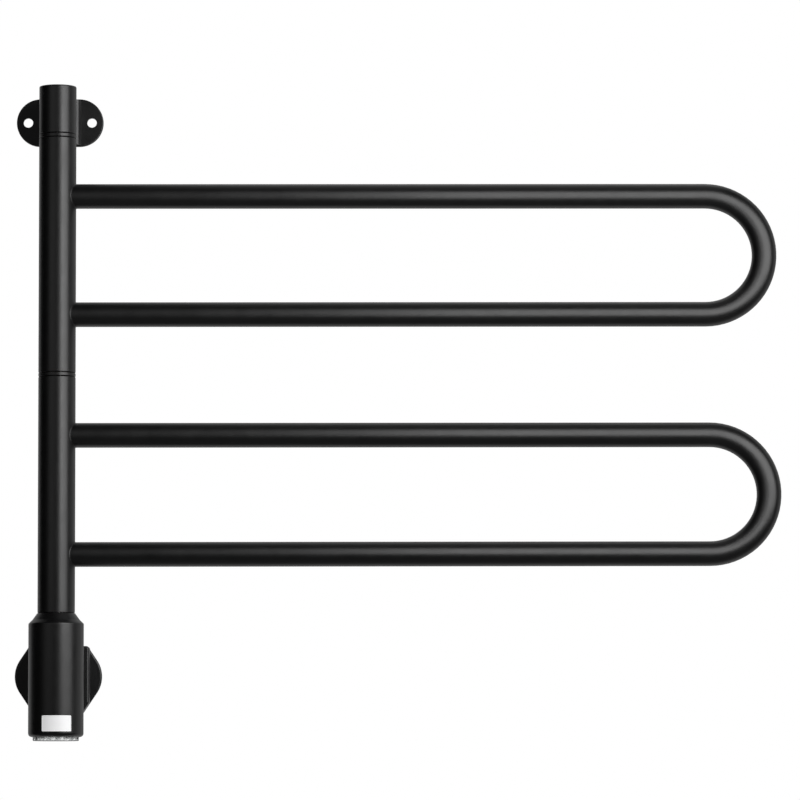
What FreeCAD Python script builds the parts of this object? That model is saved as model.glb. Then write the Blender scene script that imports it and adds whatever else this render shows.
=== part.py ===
"""A wall-hung heated towel holder with two swivel arms.

Two U-shaped arms of bent tube are welded to sleeves. The sleeves turn on a fixed mast between an upper wall
bracket and a round housing at the bottom, which holds the timer board and its push button. The lower end is
carried by a box that plugs onto a wall plate, where the supply cable comes out of the wall.

Frame, in millimetres: the origin is on the wall, midway between the upper bracket's two screw holes. +X
points along the arms at rest, +Y into the wall and +Z up.
"""

import FreeCAD
import Part

import math
import os

Vector = FreeCAD.Vector

UP = Vector(0, 0, 1)
TO_WALL = Vector(0, 1, 0)
TO_ROOM = Vector(0, -1, 0)
ALONG_ARMS = Vector(1, 0, 0)
FULL_TURN = 360
HALF_TURN = 180
SAME_SIZE = 1e-4

# Where the column stands
axis_to_wall = 38.0
column_top = 23.3

# Column tubes, spacer rings and end cap
column_od = 28.6
column_wall = 1.5
tube_edge_break = 0.4
cap_height = 2.4
cap_edge_round = 1.0
cap_spigot_height = 4.0
top_tube_length = 34.6
spacer_ring_height = 2.8
running_gap = 0.3
sleeve_length = 181.0

# Mast and what fixes its top
mast_od = 19.0
mast_wall = 2.0
plug_height = 22.0
shaft_clearance = 0.05
ring_clearance = 0.1

# Arms
arm_od = 19.0
arm_wall = 1.5
bar_from_sleeve_end = 44.8
upper_arm_reach = 553.4
lower_arm_reach = 555.8
weld_leg = 0.8
weld_root_gap = 0.4

# Bushes, friction rings and stop pins
bush_length = 16.0
stop_notch_height = 5.0
stop_pin_radius = 1.5
stop_pin_tip_gap = 0.4
stop_pin_side_gap = 0.25
friction_ring_section = 1.6
friction_groove_gap = 0.05
swing_angle = 180.0
stop_pin_bearing = 90.0

# Heating cables and leads
heater_radius = 2.6
heater_floor_gap = 0.1
heater_start = 0.6
heater_end_inset = 6.0
loop_wire_radius = 0.9
lead_hole_radius = 2.2
lead_radius = 1.6
upper_lead_bearing = 200.0
lower_lead_bearing = 160.0

# Upper wall bracket and its bolt
flange_thickness = 3.2
upper_flange_edge_round = 0.8
upper_flange_width = 67.3
upper_flange_height = 37.1
upper_screw_spacing = 49.4
upper_screw_hole_radius = 3.7
boss_width = 32.6
boss_depth = 9.5
boss_end_inset = 1.2
boss_edge_round = 4.5
saddle_width = 24.0
saddle_front_from_axis = 9.5
saddle_edge_round = 1.2
saddle_clearance = 0.02
saddle_relief = 0.5
bolt_radius = 2.5
bolt_head_radius = 5.0
bolt_head_depth = 2.7
bolt_tip_inset = 0.5
bolt_socket_flats = 3.0
bolt_socket_depth = 1.8

# Neck collar and housing
collar_top_radius = 14.5
collar_base_radius = 18.1
collar_cone_height = 5.0
collar_plug_depth = 8.0
housing_od = 42.3
housing_wall = 2.0
housing_length = 89.3
shoulder_slope_share = 0.95
shoulder_round = 1.6
shoulder_thickness = 3.4
housing_foot_round = 2.8

# Mast foot and the screws in it
foot_height = 31.0
foot_clearance = 0.1
grub_radius = 2.5
grub_length = 6.0
grub_socket_flats = 2.5
grub_socket_depth = 2.5
housing_screw_radius = 2.0
housing_screw_head_radius = 3.5
housing_screw_head_height = 2.2
housing_screw_tip_gap = 1.0
housing_screw_drop = 18.5
housing_screw_spacing = 8.0
housing_screw_socket_flats = 2.5
housing_screw_socket_depth = 1.4

# Lower wall plate and connection box
lobe_reach = 33.6
lobe_tip_radius = 22.5
lobe_tangent_rise = 12.5
plate_rise = 23.0
plate_drop = 32.0
plate_corner_round = 2.4
plate_edge_round = 1.4
lobe_line_from_housing_top = 42.2
box_half_width = 23.0
box_offset = 1.5
box_depth = 16.8
box_wall = 2.4
box_front_wall = 5.6
box_edge_round = 1.8
box_inner_round = 0.8
box_saddle_clearance = 0.1
rim_thickness = 1.6
rim_height = 5.0
rim_clearance = 0.2
lower_screw_spacing = 28.0
lower_screw_hole_radius = 2.75
lower_screw_drop = 4.0
lead_window_radius = 4.5
lead_window_drop = 5.0
lock_screw_radius = 2.0
lock_screw_length = 4.5
lock_screw_recess = 0.3
lock_screw_from_plate = 2.6
lock_screw_socket_flats = 2.0
lock_screw_socket_depth = 2.0

# Cable entry, clamp and mains terminal in the box
grommet_bore_radius = 4.0
grommet_body_radius = 6.0
grommet_flange_radius = 7.6
grommet_flange_thickness = 2.0
grommet_drop = 19.2
clamp_drop = 9.8
clamp_length = 19.0
clamp_width = 5.0
clamp_thickness = 2.2
clamp_screw_spacing = 13.0
clamp_boss_radius = 2.6
clamp_boss_height = 4.0
clamp_screw_radius = 1.4
clamp_screw_length = 7.0
clamp_screw_head_radius = 2.3
clamp_screw_head_height = 1.6
terminal_width = 24.0
terminal_depth = 8.0
terminal_height = 9.0
terminal_rise = 10.0
terminal_poles = 3
terminal_pole_radius = 1.8
terminal_pole_depth = 2.0

# Badge
badge_width = 23.3
badge_height = 12.2
badge_thickness = 0.35
badge_corner_round = 0.6
badge_from_foot = 9.95
badge_bearing = 4.5

# Push button, its seal and the lip that keeps it in
button_radius = 17.7
button_protrusion = 3.0
button_floor = 3.0
button_wall = 2.0
button_edge_round = 0.6
button_flange_radius = 18.5
button_flange_thickness = 1.5
button_travel = 1.2
button_stop_gap = 0.3
button_side_gap = 0.2
stem_radius = 3.0
lip_thickness = 2.5
seal_section = 1.0
seal_rise = 1.3
seal_groove_gap = 0.05

# Board, carrier and parts on the board
carrier_height = 7.0
carrier_inner_radius = 14.5
board_radius = 18.3
board_thickness = 1.6
board_screw_circle_radius = 16.6
board_screw_radius = 1.0
board_screw_length = 5.0
board_screw_head_radius = 1.6
board_screw_head_height = 1.2
board_screw_bearing = 30.0
board_screw_count = 2
switch_width = 6.0
switch_height = 3.4
plunger_radius = 1.6
plunger_gap = 0.05
plunger_proud = 1.6
plunger_length = 2.5
plunger_bore_depth = 2.8
light_radius = 1.5
light_height = 4.0
light_circle_radius = 9.0
light_count = 2
relay_width = 16.0
relay_depth = 8.4
relay_height = 12.0
relay_from_axis = 11.0
capacitor_radius = 4.0
capacitor_height = 12.0
capacitor_x = 8.5
capacitor_y = 6.5
board_terminal_width = 8.0
board_terminal_depth = 12.0
board_terminal_height = 9.0
board_terminal_from_axis = 5.4
mains_lead_radius = 1.2
mains_lead_spacing = 6.0
mains_lead_from_wall = 7.4
mains_lead_bend = 4.0
mains_lead_from_axis = 12.5

# One overrun serves every cut
overrun = 5.0

# Places worked out from the sizes above
AXIS_Y = -axis_to_wall
column_radius = column_od / 2
column_bore = column_radius - column_wall
mast_radius = mast_od / 2
mast_bore = mast_radius - mast_wall
arm_radius = arm_od / 2
arm_bore = arm_radius - arm_wall
housing_radius = housing_od / 2
housing_bore = housing_radius - housing_wall
bush_bore = mast_radius + shaft_clearance
heater_sag = arm_bore - heater_radius - heater_floor_gap
loop_radius = (mast_radius + column_bore) / 2

top_tube_top = column_top - cap_height
top_tube_bottom = top_tube_top - top_tube_length
plug_top = top_tube_top - cap_spigot_height
upper_ring_top = top_tube_bottom - running_gap
upper_sleeve_top = upper_ring_top - spacer_ring_height - running_gap
middle_ring_top = upper_sleeve_top - sleeve_length - running_gap
lower_sleeve_top = middle_ring_top - spacer_ring_height - running_gap
collar_top = lower_sleeve_top - sleeve_length - running_gap
housing_top = collar_top - collar_cone_height
collar_bottom = housing_top - collar_plug_depth
foot_bottom = collar_bottom - foot_height
housing_bottom = housing_top - housing_length
lobe_line = housing_top - lobe_line_from_housing_top

flange_front = -flange_thickness
box_front = flange_front - box_depth
box_cavity_front = box_front + box_front_wall

button_bottom = housing_bottom - button_protrusion
button_flange_bottom = housing_bottom + lip_thickness + button_stop_gap
button_flange_top = button_flange_bottom + button_flange_thickness
carrier_bottom = button_flange_top + button_travel + button_stop_gap
board_bottom = carrier_bottom + carrier_height
board_top = board_bottom + board_thickness
plunger_bottom = board_bottom - switch_height - plunger_proud


def cylinder(radius, base, direction, length):
    """A solid cylinder from its base point along a direction."""
    return Part.makeCylinder(radius, length, base, direction)


def column_cylinder(radius, low, high):
    """A cylinder on the column's axis between two heights."""
    return cylinder(radius, Vector(0, AXIS_Y, low), UP, high - low)


def column_ring(outer, inner, low, high):
    """A plain ring on the column's axis."""
    bore = column_cylinder(inner, low - overrun, high + overrun)
    return column_cylinder(outer, low, high).cut(bore)


def turned(outline):
    """A turned solid on the column's axis, from an outline of (radius, height) points."""
    points = [Vector(radius, 0, height) for radius, height in outline]
    face = Part.Face(Part.makePolygon(points + points[:1]))
    solid = face.revolve(Vector(0, 0, 0), UP, FULL_TURN)
    solid.translate(Vector(0, AXIS_Y, 0))
    return solid


def block(low, high):
    """A box between two corners."""
    size = high - low
    return Part.makeBox(size.x, size.y, size.z, low)


def bearing_direction(degrees):
    """A level direction; 0 is along +X and 90 towards the wall."""
    angle = math.radians(degrees)
    return Vector(math.cos(angle), math.sin(angle), 0)


def on_column(radius, degrees, height):
    """A point at a distance and bearing from the column's axis."""
    return Vector(0, AXIS_Y, height) + bearing_direction(degrees) * radius


def hex_prism(flats, base, direction, length):
    """A hexagonal key socket, to be cut out of a screw."""
    corner = flats / math.sqrt(3)
    side = TO_WALL if abs(direction.z) > abs(direction.y) else UP
    turn = FreeCAD.Rotation(direction, FULL_TURN / 6)
    corners = []
    arm = side * corner
    for _ in range(6):
        corners.append(base + arm)
        arm = turn.multVec(arm)
    face = Part.Face(Part.makePolygon(corners + corners[:1]))
    return face.extrude(direction * length)


def edges_where(shape, test):
    """The edges whose middle point passes a test."""
    found = []
    for edge in shape.Edges:
        middle = edge.valueAt((edge.FirstParameter + edge.LastParameter) / 2)
        if test(edge, middle):
            found.append(edge)
    return found


def near(value, target):
    """True where two sizes are the same but for rounding."""
    return abs(value - target) < SAME_SIZE


def is_level_circle(edge, radius, height):
    """True for a circle round the column's axis with a given radius and height."""
    curve = edge.Curve
    return (
        isinstance(curve, Part.Circle)
        and near(curve.Radius, radius)
        and near(curve.Center.z, height)
        and near(curve.Center.y, AXIS_Y)
    )


def break_rim(solid, radius, height, size):
    """Chamfers the round edge of a given radius and height."""
    rim = edges_where(solid, lambda edge, middle: is_level_circle(edge, radius, height))
    return solid.makeChamfer(size, rim)


def round_rim(solid, radius, height, size):
    """Rounds the round edge of a given radius and height."""
    rim = edges_where(solid, lambda edge, middle: is_level_circle(edge, radius, height))
    return solid.makeFillet(size, rim)


def wire_route(points, bend):
    """A route of straight runs joined by tangent arcs of one bend radius."""
    edges = []
    start = points[0]
    for before, corner, after in zip(points, points[1:], points[2:]):
        towards = (before - corner).normalize()
        away = (after - corner).normalize()
        half = towards.getAngle(away) / 2
        setback = bend / math.tan(half)
        arc_start = corner + towards * setback
        arc_end = corner + away * setback
        bisector = (towards + away).normalize()
        centre = corner + bisector * (bend / math.sin(half))
        arc_middle = centre - bisector * bend
        edges.append(Part.LineSegment(start, arc_start).toShape())
        edges.append(Part.Arc(arc_start, arc_middle, arc_end).toShape())
        start = arc_end
    edges.append(Part.LineSegment(start, points[-1]).toShape())
    return Part.Wire(edges)


def wire_solid(points, radius, bend):
    """A round wire along a route."""
    route = wire_route(points, bend)
    direction = points[1] - points[0]
    section = Part.Wire(Part.Circle(points[0], direction, radius).toShape())
    return route.makePipeShell([section], True, False)


def make_cap():
    """The end cap: a disc with a rounded rim, and a spigot that fits the top tube."""
    disc = column_cylinder(column_radius, top_tube_top, column_top)
    disc = round_rim(disc, column_radius, column_top, cap_edge_round)
    spigot = column_cylinder(column_bore, plug_top, top_tube_top)
    return disc.fuse(spigot).removeSplitter()


def make_top_tube():
    """The fixed tube above the sleeves, drilled at the back for the bracket's bolt."""
    tube = column_ring(column_radius, column_bore, top_tube_bottom, top_tube_top)
    tube = break_rim(tube, column_radius, top_tube_bottom, tube_edge_break)
    return tube.cut(cylinder(bolt_radius, Vector(0, AXIS_Y, 0), TO_WALL, axis_to_wall))


def make_top_plug():
    """The plug between the top tube and the mast; the bracket's bolt is threaded into it."""
    plug = column_ring(column_bore, mast_radius, plug_top - plug_height, plug_top)
    return plug.cut(cylinder(bolt_radius, Vector(0, AXIS_Y, 0), TO_WALL, axis_to_wall))


def make_spacer_ring(top):
    """A spacer ring that keeps two turning parts apart."""
    bottom = top - spacer_ring_height
    ring = column_ring(column_radius, mast_radius, bottom, top)
    ring = break_rim(ring, column_radius, top, tube_edge_break)
    return break_rim(ring, column_radius, bottom, tube_edge_break)


def stop_pin_height(sleeve_top):
    """The stop pin runs in the middle of the notch in the sleeve's upper bush."""
    return sleeve_top - stop_notch_height / 2


def lead_height(sleeve_top):
    """An arm's lead leaves at the height of its heating cable, on the floor of the lower bar."""
    return min(arm_bars(sleeve_top)) - heater_sag


def make_mast():
    """The mast, drilled for the bolt, the stop pins, the leads and the grub screw that holds its foot."""
    mast = column_ring(mast_radius, mast_bore, foot_bottom, plug_top)
    mast = mast.cut(cylinder(bolt_radius, Vector(0, AXIS_Y, 0), TO_WALL, axis_to_wall))
    for top in (upper_sleeve_top, lower_sleeve_top):
        base = Vector(0, AXIS_Y, stop_pin_height(top))
        mast = mast.cut(cylinder(stop_pin_radius, base, bearing_direction(stop_pin_bearing), mast_od))
    for top, bearing in ((upper_sleeve_top, upper_lead_bearing), (lower_sleeve_top, lower_lead_bearing)):
        base = Vector(0, AXIS_Y, lead_height(top))
        mast = mast.cut(cylinder(lead_hole_radius, base, bearing_direction(bearing), mast_od))
    return mast


def make_stop_pins():
    """One pin in the mast for each sleeve; it ends the swing at both sides."""
    tip = column_bore - stop_pin_tip_gap
    pins = []
    for top in (upper_sleeve_top, lower_sleeve_top):
        base = on_column(mast_bore, stop_pin_bearing, stop_pin_height(top))
        pins.append(cylinder(stop_pin_radius, base, bearing_direction(stop_pin_bearing), tip - mast_bore))
    return Part.makeCompound(pins)


def wall_outline(edges, front):
    """A flat plate on the wall, from an outline drawn at y = 0, out to a front face."""
    return Part.Face(Part.Wire([edge.toShape() for edge in edges])).extrude(Vector(0, front, 0))


def on_wall(x, z):
    """A point on the wall."""
    return Vector(x, 0, z)


def make_upper_flange():
    """The upper bracket's flange: a plate with half-round ends, rounded along its front edge."""
    radius = upper_flange_height / 2
    tip = upper_flange_width / 2
    reach = tip - radius
    edges = [
        Part.LineSegment(on_wall(-reach, radius), on_wall(reach, radius)),
        Part.Arc(on_wall(reach, radius), on_wall(tip, 0), on_wall(reach, -radius)),
        Part.LineSegment(on_wall(reach, -radius), on_wall(-reach, -radius)),
        Part.Arc(on_wall(-reach, -radius), on_wall(-tip, 0), on_wall(-reach, radius)),
    ]
    return round_front(wall_outline(edges, flange_front), flange_front, upper_flange_edge_round)


def round_front(solid, front, size):
    """Rounds the edges that lie on a front face."""
    return solid.makeFillet(size, edges_where(solid, lambda edge, middle: near(middle.y, front)))


def drill(solid, hole_radius, x, z):
    """Drills a flange from front to back."""
    depth = flange_thickness + 2 * overrun
    return solid.cut(cylinder(hole_radius, Vector(x, overrun, z), TO_ROOM, depth))


def bracket_block(width, front, edge_round):
    """A block on the upper flange, with its two front corners rounded."""
    half_width = width / 2
    half_height = upper_flange_height / 2 - boss_end_inset
    solid = block(Vector(-half_width, front, -half_height), Vector(half_width, 0, half_height))
    uprights = edges_where(
        solid, lambda edge, middle: near(middle.y, front) and near(abs(middle.x), half_width)
    )
    return solid.makeFillet(edge_round, uprights)


def make_upper_bracket():
    """The upper bracket: a flange with two ears, a low boss, and a saddle that takes the top tube."""
    boss = bracket_block(boss_width, -boss_depth, boss_edge_round)
    saddle = bracket_block(saddle_width, AXIS_Y + saddle_front_from_axis, saddle_edge_round)
    bracket = make_upper_flange().fuse([boss, saddle]).removeSplitter()
    seat = column_radius + saddle_clearance
    relief_top = top_tube_bottom
    half_height = upper_flange_height / 2
    bracket = bracket.cut(column_cylinder(seat, relief_top, half_height + overrun))
    bracket = bracket.cut(column_cylinder(seat + saddle_relief, -half_height - overrun, relief_top))
    for side in (-1, 1):
        bracket = drill(bracket, upper_screw_hole_radius, side * upper_screw_spacing / 2, 0)
    bracket = bracket.cut(cylinder(bolt_radius, Vector(0, 0, 0), TO_ROOM, axis_to_wall))
    return bracket.cut(bolt_head_cone())


def bolt_head_cone():
    """The countersunk head of the bracket's bolt, flush with the wall face."""
    return Part.makeCone(bolt_head_radius, bolt_radius, bolt_head_depth, Vector(0, 0, 0), TO_ROOM)


def make_bracket_bolt():
    """The countersunk bolt that pulls the column into the upper bracket's saddle."""
    length = axis_to_wall - mast_bore + bolt_tip_inset
    bolt = cylinder(bolt_radius, Vector(0, 0, 0), TO_ROOM, length).fuse(bolt_head_cone())
    bolt = bolt.removeSplitter()
    return bolt.cut(hex_prism(bolt_socket_flats, Vector(0, 0, 0), TO_ROOM, bolt_socket_depth))


def arm_bars(sleeve_top):
    """The heights of an arm's two bars, evenly in from the sleeve's ends."""
    return sleeve_top - bar_from_sleeve_end, sleeve_top - sleeve_length + bar_from_sleeve_end


def hairpin(radius, upper, lower, start, reach):
    """A U-shaped solid rod: two level bars from one x, and the half-round bend at their far end."""
    bend_radius = (upper - lower) / 2
    bend_x = reach - arm_radius - bend_radius
    upper_bar = cylinder(radius, Vector(start, AXIS_Y, upper), ALONG_ARMS, bend_x - start)
    lower_bar = cylinder(radius, Vector(start, AXIS_Y, lower), ALONG_ARMS, bend_x - start)
    section = Part.Face(Part.Wire(Part.Circle(Vector(bend_x, AXIS_Y, upper), ALONG_ARMS, radius).toShape()))
    centre = Vector(bend_x, AXIS_Y, (upper + lower) / 2)
    bend = section.revolve(centre, TO_WALL, HALF_TURN)
    return upper_bar.fuse([bend, lower_bar]).removeSplitter()


def make_arm_tube(sleeve_top, reach):
    """An arm: one bent tube whose two ends are coped to the bore of its sleeve."""
    upper, lower = arm_bars(sleeve_top)
    tube = hairpin(arm_radius, upper, lower, 0, reach)
    tube = tube.cut(hairpin(arm_bore, upper, lower, -overrun, reach))
    sleeve_bore = column_cylinder(column_bore, lower - arm_od, upper + arm_od)
    return tube.cut(sleeve_bore)


def make_sleeve(sleeve_top):
    """A turning sleeve with a hole for each end of its arm."""
    sleeve = column_ring(column_radius, column_bore, sleeve_top - sleeve_length, sleeve_top)
    sleeve = break_rim(sleeve, column_radius, sleeve_top, tube_edge_break)
    sleeve = break_rim(sleeve, column_radius, sleeve_top - sleeve_length, tube_edge_break)
    for height in arm_bars(sleeve_top):
        sleeve = sleeve.cut(arm_socket(height))
    return sleeve


def arm_socket(height):
    """The hole in a sleeve for the end of an arm, wider than the tube by the root gap of its weld."""
    return cylinder(arm_radius + weld_root_gap, Vector(0, AXIS_Y, height), ALONG_ARMS, column_od)


def make_welds(sleeve_top):
    """The welds that join an arm to its sleeve. Each fills the root gap and ends in a fillet outside."""
    beads = []
    for height in arm_bars(sleeve_top):
        post = column_cylinder(column_radius, height - arm_od, height + arm_od)
        bar = cylinder(arm_radius, Vector(0, AXIS_Y, height), ALONG_ARMS, column_od)
        joined = post.fuse(bar)
        seam = edges_where(
            joined,
            lambda edge, middle: near(math.hypot(middle.x, middle.y - AXIS_Y), column_radius)
            and near(math.hypot(middle.y - AXIS_Y, middle.z - height), arm_radius),
        )
        fillet = joined.makeFillet(weld_leg, seam).cut(post)
        wall = column_ring(column_radius, column_bore, height - arm_od, height + arm_od)
        root = wall.common(arm_socket(height))
        beads.append(fillet.fuse(root).cut(bar).removeSplitter())
    return Part.makeCompound([solid for bead in beads for solid in bead.Solids])


def make_upper_bush(sleeve_top):
    """A sleeve's upper bush. The notch in its top lets the stop pin run through the swing, no further."""
    bush = column_ring(column_bore, bush_bore, sleeve_top - bush_length, sleeve_top)
    spare = math.degrees(math.asin((stop_pin_radius + stop_pin_side_gap) / bush_bore))
    notch = Part.makeCylinder(
        column_od,
        stop_notch_height + overrun,
        Vector(0, AXIS_Y, sleeve_top - stop_notch_height),
        UP,
        swing_angle + 2 * spare,
    )
    notch.rotate(Vector(0, AXIS_Y, 0), UP, stop_pin_bearing - spare)
    return bush.cut(notch)


def friction_ring_height(sleeve_top):
    """The friction ring sits in the middle of the lower bush."""
    return sleeve_top - sleeve_length + bush_length / 2


def make_lower_bush(sleeve_top):
    """A sleeve's lower bush, with a groove for the friction ring."""
    bottom = sleeve_top - sleeve_length
    bush = column_ring(column_bore, bush_bore, bottom, bottom + bush_length)
    middle = friction_ring_height(sleeve_top)
    half = friction_ring_section / 2 + friction_groove_gap
    depth = mast_radius + ring_clearance + friction_ring_section
    return bush.cut(column_cylinder(depth, middle - half, middle + half))


def make_friction_ring(sleeve_top):
    """The rubber ring that grips the mast lightly, so that an arm stays where it is put."""
    section = friction_ring_section / 2
    centre = Vector(0, AXIS_Y, friction_ring_height(sleeve_top))
    return Part.makeTorus(mast_radius + ring_clearance + section, section, centre, UP)


def make_heater(sleeve_top, reach):
    """The heating cable on the floor of an arm's bars, with a thin tail that leads into the sleeve."""
    upper, lower = arm_bars(sleeve_top)
    upper_line = upper - heater_sag
    lower_line = lower - heater_sag
    cable = hairpin(heater_radius, upper_line, lower_line, column_radius + heater_start, reach)
    spare = cylinder(
        heater_radius + heater_start,
        Vector(0, AXIS_Y, upper_line),
        ALONG_ARMS,
        column_radius + heater_end_inset,
    )
    lead_start = Vector(loop_radius + loop_wire_radius + running_gap, AXIS_Y, lower_line)
    lead = cylinder(loop_wire_radius, lead_start, ALONG_ARMS, column_radius + heater_start - lead_start.x)
    return cable.cut(spare).fuse(lead).removeSplitter()


def make_lead_loop(sleeve_top, bearing):
    """The slack lead round the mast, from the heating cable's tail to the hole in the mast."""
    height = lead_height(sleeve_top)
    centre = Vector(0, AXIS_Y, height)
    ring = Part.makeTorus(loop_radius, loop_wire_radius, centre, UP, -HALF_TURN, HALF_TURN, bearing)
    inner_end = cylinder(
        loop_wire_radius,
        on_column(mast_bore, bearing, height),
        bearing_direction(bearing),
        loop_radius - mast_bore,
    )
    knuckle = Part.makeSphere(loop_wire_radius, on_column(loop_radius, bearing, height))
    return ring.fuse([inner_end, knuckle]).removeSplitter()


def lead_line_radius():
    """How far from the axis the supply leads run, against the mast's bore."""
    return mast_bore - lead_radius


def make_supply_leads():
    """The leads inside the mast, from the board's terminal block to each arm's hole."""
    leads = []
    for top, bearing in ((upper_sleeve_top, upper_lead_bearing), (lower_sleeve_top, lower_lead_bearing)):
        start = on_column(lead_line_radius(), bearing, board_top + board_terminal_height)
        length = lead_height(top) + lead_hole_radius - start.z
        leads.append(cylinder(lead_radius, start, UP, length))
    return Part.makeCompound(leads)


def make_collar():
    """The conical collar round the mast. Its wider foot is held under the housing's shoulder."""
    return turned(
        [
            (mast_radius, collar_top),
            (collar_top_radius, collar_top),
            (collar_base_radius, housing_top),
            (collar_base_radius, housing_top - shoulder_thickness),
            (housing_bore, housing_top - shoulder_thickness),
            (housing_bore, collar_bottom),
            (mast_radius, collar_bottom),
        ]
    )


def lead_window():
    """The way for the mains leads from the box into the housing."""
    base = Vector(0, AXIS_Y + foot_clearance, lobe_line - lead_window_drop)
    return cylinder(lead_window_radius, base, TO_WALL, axis_to_wall + flange_front)


def housing_screw_heights():
    """The heights of the two screws that hold the housing to the box."""
    first = collar_bottom - housing_screw_drop
    return [first, first - housing_screw_spacing]


def make_housing():
    """The round housing: a sloped shoulder, a rounded foot, and a grooved lip that keeps the button in."""
    shoulder_foot = housing_top - (housing_radius - collar_base_radius) * shoulder_slope_share
    shell = turned(
        [
            (collar_base_radius, housing_top),
            (housing_radius, shoulder_foot),
            (housing_radius, housing_bottom),
            (button_radius + button_side_gap, housing_bottom),
            (button_radius + button_side_gap, housing_bottom + lip_thickness),
            (housing_bore, housing_bottom + lip_thickness),
            (housing_bore, housing_top - shoulder_thickness),
            (collar_base_radius, housing_top - shoulder_thickness),
        ]
    )
    shell = round_rim(shell, housing_radius, shoulder_foot, shoulder_round)
    foot_round = min(housing_foot_round, housing_wall + lip_thickness)
    shell = round_rim(shell, housing_radius, housing_bottom, foot_round)
    for height in housing_screw_heights():
        base = Vector(0, AXIS_Y, height)
        shell = shell.cut(cylinder(housing_screw_radius, base, TO_WALL, axis_to_wall))
    return shell.cut(seal_groove()).cut(lead_window())


def make_foot():
    """The block in the housing that the mast stands in. The screws from the box are threaded into it."""
    foot = column_ring(housing_bore - foot_clearance, mast_radius, foot_bottom, collar_bottom)
    for height in housing_screw_heights():
        base = Vector(0, AXIS_Y + mast_radius + housing_screw_tip_gap, height)
        foot = foot.cut(cylinder(housing_screw_radius, base, TO_WALL, housing_radius))
    base = Vector(0, AXIS_Y - mast_radius, grub_height())
    return foot.cut(cylinder(grub_radius, base, TO_ROOM, housing_radius))


def grub_height():
    """The grub screw's height, midway up the foot."""
    return foot_bottom + foot_height / 2


def make_grub_screw():
    """The grub screw that clamps the mast in its foot."""
    base = Vector(0, AXIS_Y - mast_radius, grub_height())
    screw = cylinder(grub_radius, base, TO_ROOM, grub_length)
    end = base + TO_ROOM * grub_length
    return screw.cut(hex_prism(grub_socket_flats, end, TO_WALL, grub_socket_depth))


def make_housing_screws():
    """The two screws from inside the box, through the housing, into the mast's foot."""
    tip = AXIS_Y + mast_radius + housing_screw_tip_gap
    screws = []
    for height in housing_screw_heights():
        head_base = Vector(0, box_cavity_front, height)
        shank = cylinder(housing_screw_radius, head_base, TO_ROOM, box_cavity_front - tip)
        head = cylinder(housing_screw_head_radius, head_base, TO_WALL, housing_screw_head_height)
        screw = shank.fuse(head).removeSplitter()
        top = head_base + TO_WALL * housing_screw_head_height
        socket = hex_prism(housing_screw_socket_flats, top, TO_ROOM, housing_screw_socket_depth)
        screws.append(screw.cut(socket))
    return Part.makeCompound(screws)


def lobe_slope():
    """How fast the plate's straight flanks run in, sideways per unit of height."""
    return lobe_tangent_rise / math.sqrt(lobe_tip_radius**2 - lobe_tangent_rise**2)


def flank_x(rise):
    """The flank's distance from the middle, at a distance above or below the lobes' line."""
    tangent_x = lobe_reach - lobe_tip_radius + math.sqrt(lobe_tip_radius**2 - lobe_tangent_rise**2)
    return tangent_x - lobe_slope() * (abs(rise) - lobe_tangent_rise)


def round_corners(solid, size, heights):
    """Rounds the corners that run from front to back at some heights."""

    def is_corner(edge, middle):
        straight = isinstance(edge.Curve, (Part.Line, Part.LineSegment))
        if not straight or not near(abs(edge.tangentAt(edge.FirstParameter).dot(TO_WALL)), 1):
            return False
        return any(near(middle.z, height) for height in heights)

    return solid.makeFillet(size, edges_where(solid, is_corner))


def make_plate_blank():
    """The lower wall plate's flat flange: two lobes, a flat top and a flat bottom."""
    top = lobe_line + plate_rise
    bottom = lobe_line - plate_drop
    high = lobe_line + lobe_tangent_rise
    low = lobe_line - lobe_tangent_rise
    shoulder = flank_x(lobe_tangent_rise)
    top_x = flank_x(plate_rise)
    bottom_x = flank_x(plate_drop)
    edges = [
        Part.LineSegment(on_wall(-top_x, top), on_wall(top_x, top)),
        Part.LineSegment(on_wall(top_x, top), on_wall(shoulder, high)),
        Part.Arc(on_wall(shoulder, high), on_wall(lobe_reach, lobe_line), on_wall(shoulder, low)),
        Part.LineSegment(on_wall(shoulder, low), on_wall(bottom_x, bottom)),
        Part.LineSegment(on_wall(bottom_x, bottom), on_wall(-bottom_x, bottom)),
        Part.LineSegment(on_wall(-bottom_x, bottom), on_wall(-shoulder, low)),
        Part.Arc(on_wall(-shoulder, low), on_wall(-lobe_reach, lobe_line), on_wall(-shoulder, high)),
        Part.LineSegment(on_wall(-shoulder, high), on_wall(-top_x, top)),
    ]
    flange = wall_outline(edges, flange_front)
    flange = round_corners(flange, plate_corner_round, (top, bottom))
    return round_front(flange, flange_front, plate_edge_round)


def box_prism(inset, back, front):
    """The box's outline drawn in by an inset, between two depths. Below, it follows the plate's flanks."""
    slope = lobe_slope()
    shift = inset * math.sqrt(1 + slope**2)
    top = lobe_line + plate_rise - inset
    bottom = lobe_line - plate_drop + inset
    bottom_x = flank_x(bottom - lobe_line) - shift
    outline = []
    for side in (1, -1):
        half_width = box_half_width + side * box_offset - inset
        crossing = lobe_tangent_rise + (flank_x(lobe_tangent_rise) - shift - half_width) / slope
        points = [
            Vector(side * half_width, back, top),
            Vector(side * half_width, back, lobe_line - crossing),
            Vector(side * bottom_x, back, bottom),
        ]
        outline += points[::side]
    prism = Part.Face(Part.makePolygon(outline + outline[:1])).extrude(Vector(0, front - back, 0))
    radius = max(plate_corner_round - inset, box_inner_round)
    return round_corners(prism, radius, (top, bottom))


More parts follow.
